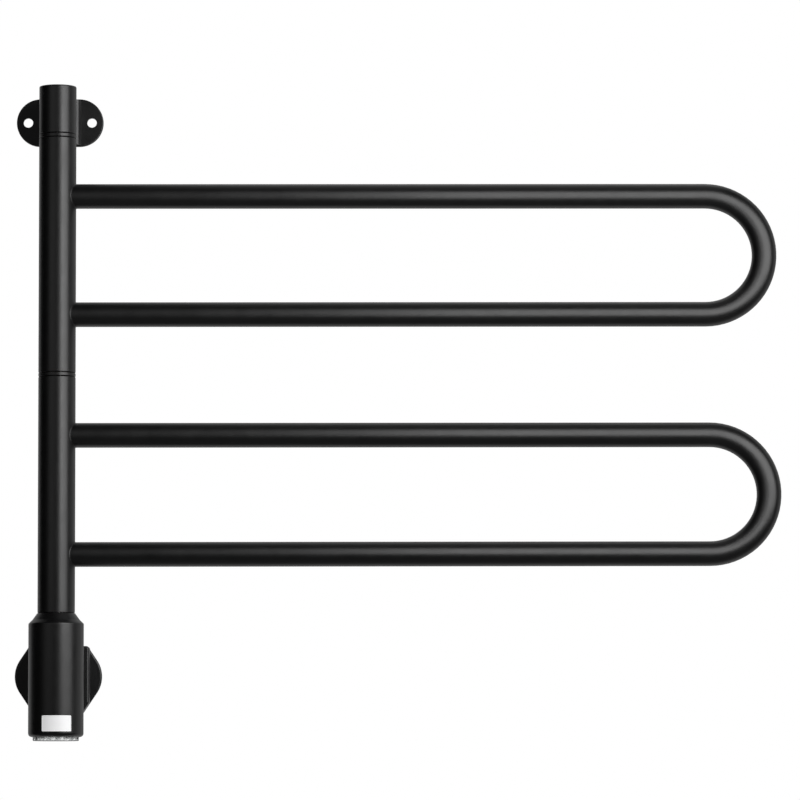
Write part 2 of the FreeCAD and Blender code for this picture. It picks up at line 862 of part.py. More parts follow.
def make_connection_box():
    """The box between plate and housing: open to the wall, with a saddle in front for the housing."""
    shell = round_front(box_prism(0, flange_front, box_front), box_front, box_edge_round)
    shell = shell.cut(box_prism(box_wall, flange_front + overrun, box_cavity_front))
    seat = housing_radius + box_saddle_clearance
    seat_bottom = lobe_line - plate_drop - overrun
    shell = shell.cut(column_cylinder(seat, seat_bottom, lobe_line + plate_rise + overrun))
    for height in housing_screw_heights():
        base = Vector(0, AXIS_Y, height)
        shell = shell.cut(cylinder(housing_screw_radius, base, TO_WALL, axis_to_wall))
    shell = shell.cut(lead_window())
    return shell.cut(cylinder(lock_screw_radius, lock_screw_base(), UP, box_wall + overrun))


def lock_screw_base():
    """Where the lock screw starts, in the underside of the box."""
    return Vector(0, flange_front - lock_screw_from_plate, lobe_line - plate_drop - overrun)


def make_lock_screw():
    """The grub screw that locks the box onto the wall plate's rim."""
    base = lock_screw_base()
    base.z = lobe_line - plate_drop + lock_screw_recess
    screw = cylinder(lock_screw_radius, base, UP, lock_screw_length)
    return screw.cut(hex_prism(lock_screw_socket_flats, base, UP, lock_screw_socket_depth))


def make_wall_plate():
    """The lower wall plate: a flange, the rim that the box plugs onto, clamp bosses and its holes."""
    outer_inset = box_wall + rim_clearance
    rim_front = flange_front - rim_height
    rim = box_prism(outer_inset, flange_front, rim_front)
    rim = rim.cut(box_prism(outer_inset + rim_thickness, flange_front + overrun, rim_front - overrun))
    plate = make_plate_blank().fuse(rim).removeSplitter()
    for side in (-1, 1):
        boss_base = Vector(side * clamp_screw_spacing / 2, flange_front, lobe_line - clamp_drop)
        boss = cylinder(clamp_boss_radius, boss_base, TO_ROOM, clamp_boss_height)
        plate = plate.fuse(boss).removeSplitter()
    for side in (-1, 1):
        boss_top = Vector(
            side * clamp_screw_spacing / 2, flange_front - clamp_boss_height, lobe_line - clamp_drop
        )
        plate = plate.cut(cylinder(clamp_screw_radius, boss_top, TO_WALL, clamp_screw_depth()))
        screw_x = side * lower_screw_spacing / 2
        plate = drill(plate, lower_screw_hole_radius, screw_x, lobe_line - lower_screw_drop)
    plate = drill(plate, grommet_body_radius, 0, lobe_line - grommet_drop)
    tip = lock_screw_base()
    tip.z = lobe_line - plate_drop + lock_screw_recess
    return plate.cut(cylinder(lock_screw_radius, tip, UP, lock_screw_length))


def clamp_screw_depth():
    """How deep the clamp screws go into their bosses."""
    return clamp_screw_length - clamp_thickness


def make_grommet():
    """The rubber grommet that the supply cable passes through."""
    centre = Vector(0, 0, lobe_line - grommet_drop)
    body = cylinder(grommet_body_radius, centre, TO_ROOM, flange_thickness)
    flange_base = centre + TO_ROOM * flange_thickness
    flange = cylinder(grommet_flange_radius, flange_base, TO_ROOM, grommet_flange_thickness)
    grommet = body.fuse(flange).removeSplitter()
    bore_start = centre + TO_WALL * overrun
    bore_length = flange_thickness + grommet_flange_thickness + 2 * overrun
    return grommet.cut(cylinder(grommet_bore_radius, bore_start, TO_ROOM, bore_length))


def make_clamp_bar():
    """The bar that holds the supply cable down on the plate."""
    back = flange_front - clamp_boss_height
    middle = lobe_line - clamp_drop
    bar = block(
        Vector(-clamp_length / 2, back - clamp_thickness, middle - clamp_width / 2),
        Vector(clamp_length / 2, back, middle + clamp_width / 2),
    )
    for side in (-1, 1):
        base = Vector(side * clamp_screw_spacing / 2, back, middle)
        bar = bar.cut(cylinder(clamp_screw_radius, base, TO_ROOM, clamp_thickness))
    return bar


def make_clamp_screws():
    """The two screws of the cable clamp."""
    back = flange_front - clamp_boss_height - clamp_thickness
    screws = []
    for side in (-1, 1):
        head_base = Vector(side * clamp_screw_spacing / 2, back, lobe_line - clamp_drop)
        shank = cylinder(clamp_screw_radius, head_base, TO_WALL, clamp_screw_length)
        head = cylinder(clamp_screw_head_radius, head_base, TO_ROOM, clamp_screw_head_height)
        screws.append(shank.fuse(head).removeSplitter())
    return Part.makeCompound(screws)


def mains_terminal_bottom():
    """The underside of the mains terminal block."""
    return lobe_line + terminal_rise - terminal_height / 2


def make_mains_terminal():
    """The mains terminal block, with a screw pocket for each pole."""
    bottom = mains_terminal_bottom()
    front = flange_front - terminal_depth
    body = block(
        Vector(-terminal_width / 2, front, bottom),
        Vector(terminal_width / 2, flange_front, bottom + terminal_height),
    )
    pitch = terminal_width / terminal_poles
    for pole in range(terminal_poles):
        x = (pole - (terminal_poles - 1) / 2) * pitch
        base = Vector(x, front, bottom + terminal_height / 2)
        body = body.cut(cylinder(terminal_pole_radius, base, TO_WALL, terminal_pole_depth))
    return body


def make_mains_leads():
    """The two leads from the mains terminal, through the window in the box, down to the board."""
    leads = []
    for side in (-1, 1):
        x = side * mains_lead_spacing / 2
        window = lobe_line - lead_window_drop
        route = [
            Vector(x, -mains_lead_from_wall, mains_terminal_bottom()),
            Vector(x, -mains_lead_from_wall, window),
            Vector(x, AXIS_Y + mains_lead_from_axis, window),
            Vector(x, AXIS_Y + mains_lead_from_axis, board_top),
        ]
        leads.append(wire_solid(route, mains_lead_radius, mains_lead_bend))
    return Part.makeCompound(leads)


def make_badge():
    """The bare badge on the housing's front, a thin plate curved to the housing."""
    middle = housing_bottom + badge_from_foot
    half_height = badge_height / 2
    skin = column_ring(
        housing_radius + badge_thickness, housing_radius, middle - half_height, middle + half_height
    )
    half_width = housing_radius * math.sin(badge_width / housing_radius / 2)
    window = block(
        Vector(-half_width, AXIS_Y - housing_od, middle - half_height),
        Vector(half_width, AXIS_Y, middle + half_height),
    )
    window = round_corners(window, badge_corner_round, (middle - half_height, middle + half_height))
    badge = skin.common(window)
    badge.rotate(Vector(0, AXIS_Y, 0), UP, badge_bearing)
    return badge


def make_button():
    """The clear push button: a cup with a flange kept in by the lip, and a stem for the switch."""
    floor_top = button_bottom + button_floor
    inner = button_radius - button_wall
    button = turned(
        [
            (0, button_bottom),
            (button_radius, button_bottom),
            (button_radius, button_flange_bottom),
            (button_flange_radius, button_flange_bottom),
            (button_flange_radius, button_flange_top),
            (inner, button_flange_top),
            (inner, floor_top),
            (stem_radius, floor_top),
            (stem_radius, plunger_bottom),
            (0, plunger_bottom),
        ]
    )
    return round_rim(button, button_radius, button_bottom, button_edge_round)


def make_seal():
    """The rubber ring that sits in the lip's groove and wipes the button's side."""
    section = seal_section / 2
    centre = Vector(0, AXIS_Y, housing_bottom + seal_rise)
    return Part.makeTorus(button_radius + shaft_clearance + section, section, centre, UP)


def seal_groove():
    """The groove in the housing's lip for the button's seal."""
    middle = housing_bottom + seal_rise
    half = seal_section / 2 + seal_groove_gap
    return column_cylinder(button_radius + shaft_clearance + seal_section, middle - half, middle + half)


def make_carrier():
    """The ring that carries the board. The button's flange travels up to it."""
    ring = column_ring(housing_bore, carrier_inner_radius, carrier_bottom, board_bottom)
    for bearing in board_screw_bearings():
        base = on_column(board_screw_circle_radius, bearing, board_top - board_screw_length)
        ring = ring.cut(cylinder(board_screw_radius, base, UP, board_screw_length))
    return ring


def board_screw_bearings():
    """The board screws stand evenly round the carrier."""
    return [board_screw_bearing + FULL_TURN * n / board_screw_count for n in range(board_screw_count)]


def make_board():
    """The round control board."""
    board = column_cylinder(board_radius, board_bottom, board_top)
    for bearing in board_screw_bearings():
        base = on_column(board_screw_circle_radius, bearing, board_bottom)
        board = board.cut(cylinder(board_screw_radius, base, UP, board_thickness))
    return board


def make_board_screws():
    """The small screws that hold the board on its carrier."""
    screws = []
    for bearing in board_screw_bearings():
        tip = on_column(board_screw_circle_radius, bearing, board_top - board_screw_length)
        head_base = on_column(board_screw_circle_radius, bearing, board_top)
        shank = cylinder(board_screw_radius, tip, UP, board_screw_length)
        head = cylinder(board_screw_head_radius, head_base, UP, board_screw_head_height)
        screws.append(shank.fuse(head).removeSplitter())
    return Part.makeCompound(screws)


def make_switch_body():
    """The push switch under the board, bored for its plunger."""
    half = switch_width / 2
    bottom = board_bottom - switch_height
    body = block(Vector(-half, AXIS_Y - half, bottom), Vector(half, AXIS_Y + half, board_bottom))
    bore = column_cylinder(plunger_radius + plunger_gap, bottom, bottom + plunger_bore_depth)
    return body.cut(bore)


def make_plunger():
    """The switch's plunger, which the button's stem pushes."""
    return column_cylinder(plunger_radius, plunger_bottom, plunger_bottom + plunger_length)


def make_lights():
    """The indicator lights under the board, which shine through the clear button."""
    lights = []
    for n in range(light_count):
        base = on_column(light_circle_radius, FULL_TURN * n / light_count, board_bottom)
        barrel = cylinder(light_radius, base, -UP, light_height - light_radius)
        dome = Part.makeSphere(light_radius, base - UP * (light_height - light_radius))
        lights.append(barrel.fuse(dome).removeSplitter())
    return Part.makeCompound(lights)


def make_relay():
    """The relay on the room side of the board."""
    middle_y = AXIS_Y - relay_from_axis
    return block(
        Vector(-relay_width / 2, middle_y - relay_depth / 2, board_top),
        Vector(relay_width / 2, middle_y + relay_depth / 2, board_top + relay_height),
    )


def make_capacitor():
    """The capacitor on the board."""
    base = Vector(capacitor_x, AXIS_Y + capacitor_y, board_top)
    return cylinder(capacitor_radius, base, UP, capacitor_height)


def make_board_terminal():
    """The terminal block on the board, right under the leads that come down the mast."""
    middle_x = -board_terminal_from_axis
    return block(
        Vector(middle_x - board_terminal_width / 2, AXIS_Y - board_terminal_depth / 2, board_top),
        Vector(
            middle_x + board_terminal_width / 2,
            AXIS_Y + board_terminal_depth / 2,
            board_top + board_terminal_height,
        ),
    )


def arm_parts(name, sleeve_top, reach, lead_bearing):
    """Everything that turns with one arm, and its slack lead."""
    return {
        f"{name}_sleeve": make_sleeve(sleeve_top),
        f"{name}_arm_tube": make_arm_tube(sleeve_top, reach),
        f"{name}_arm_welds": make_welds(sleeve_top),
        f"{name}_sleeve_top_bush": make_upper_bush(sleeve_top),
        f"{name}_sleeve_bottom_bush": make_lower_bush(sleeve_top),
        f"{name}_friction_ring": make_friction_ring(sleeve_top),
        f"{name}_heating_cable": make_heater(sleeve_top, reach),
        f"{name}_lead_loop": make_lead_loop(sleeve_top, lead_bearing),
    }


def column_parts():
    """The fixed column and the upper bracket."""
    return {
        "upper_wall_bracket": make_upper_bracket(),
        "upper_bracket_bolt": make_bracket_bolt(),
        "column_end_cap": make_cap(),
        "column_top_tube": make_top_tube(),
        "mast_top_plug": make_top_plug(),
        "mast_tube": make_mast(),
        "swing_stop_pins": make_stop_pins(),
        "upper_spacer_ring": make_spacer_ring(upper_ring_top),
        "middle_spacer_ring": make_spacer_ring(middle_ring_top),
        "arm_supply_leads": make_supply_leads(),
    }


def housing_parts():
    """The housing, the mast's foot and the wall box behind it."""
    return {
        "neck_collar": make_collar(),
        "housing_shell": make_housing(),
        "mast_foot": make_foot(),
        "mast_grub_screw": make_grub_screw(),
        "housing_screws": make_housing_screws(),
        "connection_box": make_connection_box(),
        "lower_wall_plate": make_wall_plate(),
        "box_lock_screw": make_lock_screw(),
        "cable_grommet": make_grommet(),
        "cable_clamp_bar": make_clamp_bar(),
        "cable_clamp_screws": make_clamp_screws(),
        "mains_terminal_block": make_mains_terminal(),
        "mains_leads": make_mains_leads(),
        "badge_plate": make_badge(),
    }


def control_parts():
    """The timer board and the button under it."""
    return {
        "board_carrier_ring": make_carrier(),
        "control_board": make_board(),
        "board_screws": make_board_screws(),
        "push_switch_body": make_switch_body(),
        "push_switch_plunger": make_plunger(),
        "indicator_lights": make_lights(),
        "timer_relay": make_relay(),
        "board_capacitor": make_capacitor(),
        "board_terminal_block": make_board_terminal(),
        "timer_button": make_button(),
        "button_seal": make_seal(),
    }


def main():
    """Builds every part and writes one file for each."""
    parts = {}
    parts.update(column_parts())
    parts.update(arm_parts("upper", upper_sleeve_top, upper_arm_reach, upper_lead_bearing))
    parts.update(arm_parts("lower", lower_sleeve_top, lower_arm_reach, lower_lead_bearing))
    parts.update(housing_parts())
    parts.update(control_parts())
    os.makedirs("parts", exist_ok=True)
    for name, shape in parts.items():
        shape.exportStep(f"parts/{name}.step")
        volume = sum(solid.Volume for solid in shape.Solids)
        print(f"{name}: {len(shape.Solids)} solid(s), {volume:.1f} mm3, valid {shape.isValid()}")


main()
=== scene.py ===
# %% [markdown]
# # A heated towel holder with two swinging arms
# The real object is a black steel column held off a bathroom wall by two brackets. Two long arms, each
# a steel tube bent into a hairpin, are welded to sleeves that turn on a mast inside the column. A round
# housing at the foot holds a timer that is started by pushing the clear button under it.
#
# The solid model comes first. It already has every part at its real size, so this notebook gives the
# parts their finishes, lights them as a product photographer would, and adds the few small shapes that
# a solid modeller leaves out: the ripples of the welds, the moulded flutes of the button and the rim of
# the badge.

# %% Load the solid model
import math

import bpy
from mathutils import Matrix, Vector


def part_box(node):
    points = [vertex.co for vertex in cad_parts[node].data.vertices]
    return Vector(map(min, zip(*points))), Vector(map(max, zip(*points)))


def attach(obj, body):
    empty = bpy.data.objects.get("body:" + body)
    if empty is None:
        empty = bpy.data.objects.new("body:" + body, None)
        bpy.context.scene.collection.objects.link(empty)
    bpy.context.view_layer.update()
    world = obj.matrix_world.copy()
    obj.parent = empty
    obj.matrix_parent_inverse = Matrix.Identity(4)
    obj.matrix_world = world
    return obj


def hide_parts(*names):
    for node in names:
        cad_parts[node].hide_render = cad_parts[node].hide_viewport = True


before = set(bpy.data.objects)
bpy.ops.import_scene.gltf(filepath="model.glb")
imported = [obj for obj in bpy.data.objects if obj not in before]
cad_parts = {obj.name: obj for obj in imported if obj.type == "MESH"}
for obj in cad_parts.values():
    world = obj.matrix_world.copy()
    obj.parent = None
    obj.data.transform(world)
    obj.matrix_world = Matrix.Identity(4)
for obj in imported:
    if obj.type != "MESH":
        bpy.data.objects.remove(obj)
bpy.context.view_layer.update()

mm = 0.001
quarter_turn = math.pi / 2
full_turn = 2 * math.pi

# %% [markdown]
# ## Sizes read off the solid parts
# The new shapes have to fit the parts that carry them, and one lamp is placed by its bearing from the
# column. The sizes of those parts could be typed in once more, but read off the solid model they stay
# right when it changes. A round part is made of small flat facets, so its box can come out a few
# thousandths of a millimetre small. That is why each size is rounded to a hundredth.

# %% Sizes of the solid parts
def in_mm(length):
    """A length in millimetres, to a hundredth."""
    return round(length / mm, 2)


def half_width(part, axis):
    """Half the width of a part along one axis, in metres."""
    low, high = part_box(part)
    return in_mm((high[axis] - low[axis]) / 2) * mm


x_axis = 0
y_axis = 1
top_tube_low, top_tube_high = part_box("column_top_tube")
top_tube_middle = (top_tube_low + top_tube_high) / 2
column_axis = Vector((in_mm(top_tube_middle.x), in_mm(top_tube_middle.y))) * mm
sleeve_radius = half_width("upper_sleeve", x_axis)
bar_radius = half_width("upper_arm_tube", y_axis)
housing_radius = half_width("housing_shell", x_axis)
flange_radius = half_width("timer_button", x_axis)
print("sleeve, bar, housing and button flange, radius in mm:")
print([in_mm(radius) for radius in (sleeve_radius, bar_radius, housing_radius, flange_radius)])

# %% [markdown]
# ## The camera
# A long lens from four metres away keeps the bars straight and nearly parallel, as catalogue pictures
# do. The camera stands a little lower than the object and looks slightly up: the ends of the cap and of
# the rings curve upwards, and the flat underside of the button just shows. Such a view could be set by
# eye, but then the bars and the brackets would hardly fit at the same time. So position and angles were
# worked out by comparing where known corners of the model fall in the picture.

# %% Camera
camera_place = Vector((208.28, -4038.19, -554.80)) * mm
camera_yaw = math.radians(0.7867)
camera_pitch = math.radians(4.794)
camera_roll = -0.00205
camera_lens_mm = 235.3

camera_data = bpy.data.cameras.new("catalogue_camera")
camera_data.lens = camera_lens_mm
camera = bpy.data.objects.new("catalogue_camera", camera_data)
camera.matrix_world = (
    Matrix.Translation(camera_place)
    @ Matrix.Rotation(-camera_yaw, 4, "Z")
    @ Matrix.Rotation(quarter_turn + camera_pitch, 4, "X")
    @ Matrix.Rotation(camera_roll, 4, "Z")
)
bpy.context.scene.collection.objects.link(camera)
bpy.context.scene.camera = camera
bpy.context.scene.view_settings.view_transform = "Standard"
print("camera distance from the wall:", round(-camera_place.y, 2), "m")

# %% [markdown]
# ## The room round the object
# A satin black object is drawn almost only by what it mirrors. In the studio a white sheet hangs behind
# it: that sheet is the picture's background, and it also gives each tube the thin bright line along
# both edges. The rest of the room is dark, which keeps the black deep. Walls and a sheet could be
# built, but a world shader does the same with less, because it can answer each kind of ray by itself.
# Rays from the camera and through clear plastic see white, mirrored ones see a grey, and all others get
# a low, even light.

# %% World
room = bpy.data.worlds.new("studio_room")
room.use_nodes = True
bpy.context.scene.world = room
room_nodes = room.node_tree.nodes
room_links = room.node_tree.links
light_path = room_nodes.new("ShaderNodeLightPath")
ray_direction = room_nodes.new("ShaderNodeTexCoord").outputs["Generated"]
room_white = (1.0, 1.0, 1.0, 1.0)
room_ambient = (0.50, 0.50, 0.505, 1.0)
print("even light of the room:", room_ambient[:3])

# %% [markdown]
# ## What the paint mirrors
# The mirrored grey is a sum of two ramps. One goes by how far a ray points to the back of the room,
# where the white sheet hangs. The other goes by how far it points up or down, because the floor and, a
# little, the ceiling are paler than the walls. The dot product of the ray and a direction is that
# share: about -1 straight away from it and about 1 straight towards it. Each ramp gives its greys at a
# few such shares.

# %% Greys along a direction
middle_of_ramp = 0.5
towards_back = (0.25, 1.0, 0.0)
upwards = (0.0, 0.0, 1.0)
greys_to_back = [
    (-1.0, 0.015),
    (0.02, 0.0),
    (0.25, 0.03),
    (0.5, 0.66),
    (0.75, 0.42),
    (0.9, 0.62),
    (1.02, 0.36),
]
greys_to_top = [(-1.0, 0.16), (-0.5, 0.04), (0.0, 0.0), (0.8, 0.0), (1.0, 0.015)]


def grey_along(direction, greys):
    """The greys of the room, given by how far a ray points in one direction."""
    share = room_nodes.new("ShaderNodeVectorMath")
    share.operation = "DOT_PRODUCT"
    share.inputs[1].default_value = direction
    room_links.new(ray_direction, share.inputs[0])
    lowest = greys[0][0]
    highest = greys[-1][0]
    to_unit = room_nodes.new("ShaderNodeMapRange")
    to_unit.inputs["From Min"].default_value = lowest
    to_unit.inputs["From Max"].default_value = highest
    room_links.new(share.outputs["Value"], to_unit.inputs["Value"])
    ramp = room_nodes.new("ShaderNodeValToRGB")
    ramp.color_ramp.interpolation = "EASE"
    stops = ramp.color_ramp.elements
    while len(stops) < len(greys):
        stops.new(middle_of_ramp)
    for stop, (place, grey) in zip(stops, greys):
        stop.position = (place - lowest) / (highest - lowest)
        stop.color = (grey, grey, grey, 1.0)
    room_links.new(to_unit.outputs["Result"], ramp.inputs["Fac"])
    return ramp.outputs["Color"]


mirrored = room_nodes.new("ShaderNodeVectorMath")
mirrored.operation = "ADD"
room_links.new(grey_along(towards_back, greys_to_back), mirrored.inputs[0])
room_links.new(grey_along(upwards, greys_to_top), mirrored.inputs[1])
print("greys of the room from front to back:", [grey for _, grey in greys_to_back])

# %% [markdown]
# ## An answer for each kind of ray
# One background for all rays would be simpler, but then the paint would mirror the white sheet all
# round. So the choices are laid over each other: first the low, even light, over it the greys for
# mirrored rays, then white for rays through clear plastic, and at last white for the camera.

# %% Choices by kind of ray
def room_choice(ray_kind, otherwise, when_so):
    """A colour that is when_so for rays of that kind and otherwise for the rest."""
    choice = room_nodes.new("ShaderNodeMix")
    choice.data_type = "RGBA"
    room_links.new(light_path.outputs[ray_kind], choice.inputs["Factor"])
    for socket, value in (("A", otherwise), ("B", when_so)):
        target = next(s for s in choice.inputs if s.name == socket and s.type == "RGBA")
        if isinstance(value, tuple):
            target.default_value = value
        else:
            room_links.new(value, target)
    return next(s for s in choice.outputs if s.type == "RGBA")


seen = room_choice("Is Glossy Ray", room_ambient, mirrored.outputs["Vector"])
seen = room_choice("Is Transmission Ray", seen, room_white)
seen = room_choice("Is Camera Ray", seen, room_white)
room_links.new(seen, room_nodes["Background"].inputs["Color"])
print("nodes of the room:", len(room_nodes))

# %% [markdown]
# ## The lamps
# A lamp could be any size, as long as enough light falls on the object. On satin paint its size and
# place count for more than its power, because the paint shows the lamp itself as a stripe. So each lamp
# here is a flat panel, placed where its mirror image is wanted. An area lamp's brightness is its power
# over pi times its area, so the power follows from the size and from the brightness that the stripe
# needs. Places and sizes are in metres.

# %% A panel of light
def panel(name, place, back_to, width, height, brightness):
    """An area lamp with its back turned to a direction. Brightness 1 is paper white."""
    lamp = bpy.data.lights.new(name, "AREA")
    lamp.shape = "RECTANGLE"
    lamp.size = width
    lamp.size_y = height
    lamp.energy = brightness * math.pi * width * height
    placed = bpy.data.objects.new(name, lamp)
    placed.location = place
    placed.rotation_mode = "QUATERNION"
    placed.rotation_quaternion = back_to.to_track_quat("Z", "Y")
    placed.visible_camera = False
    bpy.context.scene.collection.objects.link(placed)
    print(name, "power:", round(lamp.energy, 1), "W")


# %% [markdown]
# ## The stripes on the front
# One large softbox stands in front of the arms' far end and well past it. It draws the broad pale
# stripe down the column, and because a level bar can only mirror what is straight in front of it, the
# same softbox gives the bars a stripe that grows towards their far end. A narrow strip beside it
# carries that stripe on towards the column. A large dim panel on the left gives the column's left half
# its dark grey.

# %% Lamps in front
panel(
    "softbox_right",
    place=Vector((1.109, -0.863, 0.087)),
    back_to=Vector((0.170, -0.985, 0.0)),
    width=1.453,
    height=0.989,
    brightness=4.55,
)
panel(
    "softbox_edge",
    place=Vector((0.327, -0.560, -0.047)),
    back_to=Vector((0.0, -1.0, 0.0)),
    width=0.06,
    height=0.60,
    brightness=6.2,
)


# %% Lamp on the left
def round_column(azimuth, distance, height):
    """A place at a bearing from straight in front, a distance from the column and a height."""
    bearing = math.radians(azimuth)
    return Vector((distance * math.sin(bearing), column_axis.y - distance * math.cos(bearing), height))


left_azimuth = -29.4
left_distance = 2.0
left_height = 0.22
panel(
    "panel_left",
    place=round_column(left_azimuth, left_distance, left_height),
    back_to=round_column(left_azimuth, left_distance, 0.0),
    width=1.40,
    height=1.35,
    brightness=0.48,
)

# %% [markdown]
# ## The line along the top of the bars
# A soft thin line runs along the top of each bar. It mirrors something pale over the arms and behind
# them. One lamp can't stand in both places, so there are two dim ones: a panel above the arms, and a
# strip behind them that leans forward.

# %% Lamps above and behind
panel(
    "panel_above",
    place=Vector((0.35, 0.04, 0.36)),
    back_to=Vector((0.0, 0.0, 1.0)),
    width=0.56,
    height=0.50,
    brightness=0.40,
)
panel(
    "strip_behind",
    place=Vector((0.30, 0.22, 0.28)),
    back_to=Vector((0.0, 0.26, 0.32)),
    width=0.60,
    height=0.16,
    brightness=0.3,
)

# %% [markdown]
# ## The floor
# The picture has no floor in view, but the object is also looked at from other sides, and there a pale
# floor closes the room. It lies nearly a metre below the column's top, far enough from the softbox to
# be lit softly and not in a hard white patch. One large square is enough, with its edges thirty metres
# away.

# %% Floor
floor_height = -950.0 * mm
floor_half_side = 30.0
floor_corners = [(-1, -1), (1, -1), (1, 1), (-1, 1)]
floor_mesh = bpy.data.meshes.new("studio_floor")
floor_mesh.from_pydata(
    [(x * floor_half_side, y * floor_half_side, floor_height) for x, y in floor_corners],
    [],
    [tuple(range(len(floor_corners)))],
)
floor = bpy.data.objects.new("studio_floor", floor_mesh)
floor.visible_glossy = False
bpy.context.scene.collection.objects.link(floor)

# %% [markdown]
# ## The floor's paint
# A white floor could be made with more light, but that light would also fall on the object. So the
# floor is a plain grey that is lifted towards white for the camera alone. It doesn't show in the
# reflections on the object, where the room's own greys already stand for it, and it is clear from
# beneath, so that the object can be looked at from below.

# %% Floor paint
floor_colour = (0.27, 0.27, 0.268, 1.0)
floor_lift = 0.57

floor_paint = bpy.data.materials.new("pale_floor")
floor_paint.use_nodes = True
paint_nodes = floor_paint.node_tree.nodes
paint_links = floor_paint.node_tree.links
paint_nodes.clear()
matt = paint_nodes.new("ShaderNodeBsdfDiffuse")
matt.inputs["Color"].default_value = floor_colour
lift = paint_nodes.new("ShaderNodeEmission")
camera_only = paint_nodes.new("ShaderNodeMath")
camera_only.operation = "MULTIPLY"
camera_only.inputs[1].default_value = floor_lift
paint_links.new(paint_nodes.new("ShaderNodeLightPath").outputs["Is Camera Ray"], camera_only.inputs[0])
paint_links.new(camera_only.outputs["Value"], lift.inputs["Strength"])
lifted = paint_nodes.new("ShaderNodeAddShader")
paint_links.new(matt.outputs["BSDF"], lifted.inputs[0])
paint_links.new(lift.outputs["Emission"], lifted.inputs[1])
one_sided = paint_nodes.new("ShaderNodeMixShader")
paint_links.new(paint_nodes.new("ShaderNodeNewGeometry").outputs["Backfacing"], one_sided.inputs["Fac"])
paint_links.new(lifted.outputs["Shader"], one_sided.inputs[1])
paint_links.new(paint_nodes.new("ShaderNodeBsdfTransparent").outputs["BSDF"], one_sided.inputs[2])
paint_out = paint_nodes.new("ShaderNodeOutputMaterial")
paint_links.new(one_sided.outputs["Shader"], paint_out.inputs["Surface"])
floor_mesh.materials.append(floor_paint)
print("floor paint nodes:", len(paint_nodes))

# %% [markdown]
# ## Tools for finishes
# A real surface is never one flat colour. Each finish here starts from Blender's Principled shader and
# adds detail with nodes, which works at any distance and needs no pictures. Values that are the same
# all over the part are set straight on the shader. The nodes are made in code, so a few helpers keep
# the finishes short.

# %% Start a finish
def new_finish(name, colour, roughness, **sockets):
    """A material with one Principled shader. Other even values go in by their socket's name."""
    finish = bpy.data.materials.new(name)
    finish.use_nodes = True
    shader = shader_of(finish)
    shader.inputs["Base Color"].default_value = (*colour, 1.0)
    shader.inputs["Roughness"].default_value = roughness
    for socket, value in sockets.items():
        shader.inputs[socket.replace("_", " ")].default_value = value
    return finish


def shader_of(finish):
    """The Principled shader of a finish."""
    return finish.node_tree.nodes["Principled BSDF"]


def wire(finish, value, target):
    """Links an output to the target socket, or sets it where the value is plain."""
    if isinstance(value, bpy.types.NodeSocket):
        finish.node_tree.links.new(value, target)
    else:
        target.default_value = value


def add_node(finish, kind, **wires):
    """A new node, with outputs of other nodes wired to its inputs or plain values set there."""
    node = finish.node_tree.nodes.new(kind)
    for socket, value in wires.items():
        wire(finish, value, node.inputs[socket.replace("_", " ")])
    return node


def count_nodes(finish):
    """Prints how many nodes a finish is made of."""
    print(finish.name, "nodes:", len(finish.node_tree.nodes))


# %% [markdown]
# ## Grain at its true size
# Most surfaces differ from place to place in soft blotches, and noise gives such a cloud. Its size is
# stated in millimetres, and it lies on the part's own coordinates, so that it stays put when the part
# turns. A stretch along one axis makes lines or flow marks of it.

# %% Clouds
no_stretch = (1.0, 1.0, 1.0)


def on_part(finish, stretch=no_stretch):
    """The part's own coordinates in metres, divided by stretch along each axis."""
    place = add_node(finish, "ShaderNodeTexCoord").outputs["Object"]
    shares = tuple(1 / s for s in stretch)
    return add_node(finish, "ShaderNodeMapping", Vector=place, Scale=shares).outputs["Vector"]


def cloud(finish, size_mm, detail=2.0, stretch=no_stretch):
    """Soft random grain from 0 to 1, with blotches of about size_mm."""
    place = on_part(finish, stretch)
    noise = add_node(finish, "ShaderNodeTexNoise", Vector=place, Scale=1 / (size_mm * mm), Detail=detail)
    return noise.outputs["Fac"]


# %% [markdown]
# ## Colour, gloss and relief
# A cloud can tint the colour, vary the gloss or raise the surface. Raising it shows most, so relief is
# kept as shallow as on the real thing: hundredths of a millimetre and less, apart from the dots of
# solder. A cloud is mostly near its middle, so its outer quarters are cut off where the whole range of
# gloss should be seen.

# %% Colour, gloss and relief
cloud_low = 0.25
cloud_high = 0.75


def between(finish, value, low_in, high_in, low_out, high_out):
    """A value taken from one range to another and held at its ends."""
    ranged = add_node(finish, "ShaderNodeMapRange", Value=value)
    limits = {"From Min": low_in, "From Max": high_in, "To Min": low_out, "To Max": high_out}
    for socket, number in limits.items():
        ranged.inputs[socket].default_value = number
    return ranged.outputs["Result"]


def blended(finish, share, first, second):
    """A colour between two others, each a colour or another node's output."""
    mix = finish.node_tree.nodes.new("ShaderNodeMix")
    mix.data_type = "RGBA"
    wire(finish, share, mix.inputs["Factor"])
    for name, value in (("A", first), ("B", second)):
        target = next(s for s in mix.inputs if s.name == name and s.type == "RGBA")
        wire(finish, (*value, 1.0) if isinstance(value, tuple) else value, target)
    return next(s for s in mix.outputs if s.type == "RGBA")


def tint(finish, share, first, second):
    """The finish's colour runs between two colours."""
    wire(finish, blended(finish, share, first, second), shader_of(finish).inputs["Base Color"])


def gloss(finish, share, smoothest, roughest):
    """The finish's roughness runs between two values."""
    roughness = between(finish, share, cloud_low, cloud_high, smoothest, roughest)
    wire(finish, roughness, shader_of(finish).inputs["Roughness"])


def relief(finish, height, depth_mm):
    """Raises the surface by a height from 0 to 1 times depth, on top of any relief already there."""
    normal = shader_of(finish).inputs["Normal"]
    bump = add_node(finish, "ShaderNodeBump", Height=height, Distance=depth_mm * mm)
    if normal.is_linked:
        finish.node_tree.links.new(normal.links[0].from_socket, bump.inputs["Normal"])
    finish.node_tree.links.new(bump.outputs["Normal"], normal)


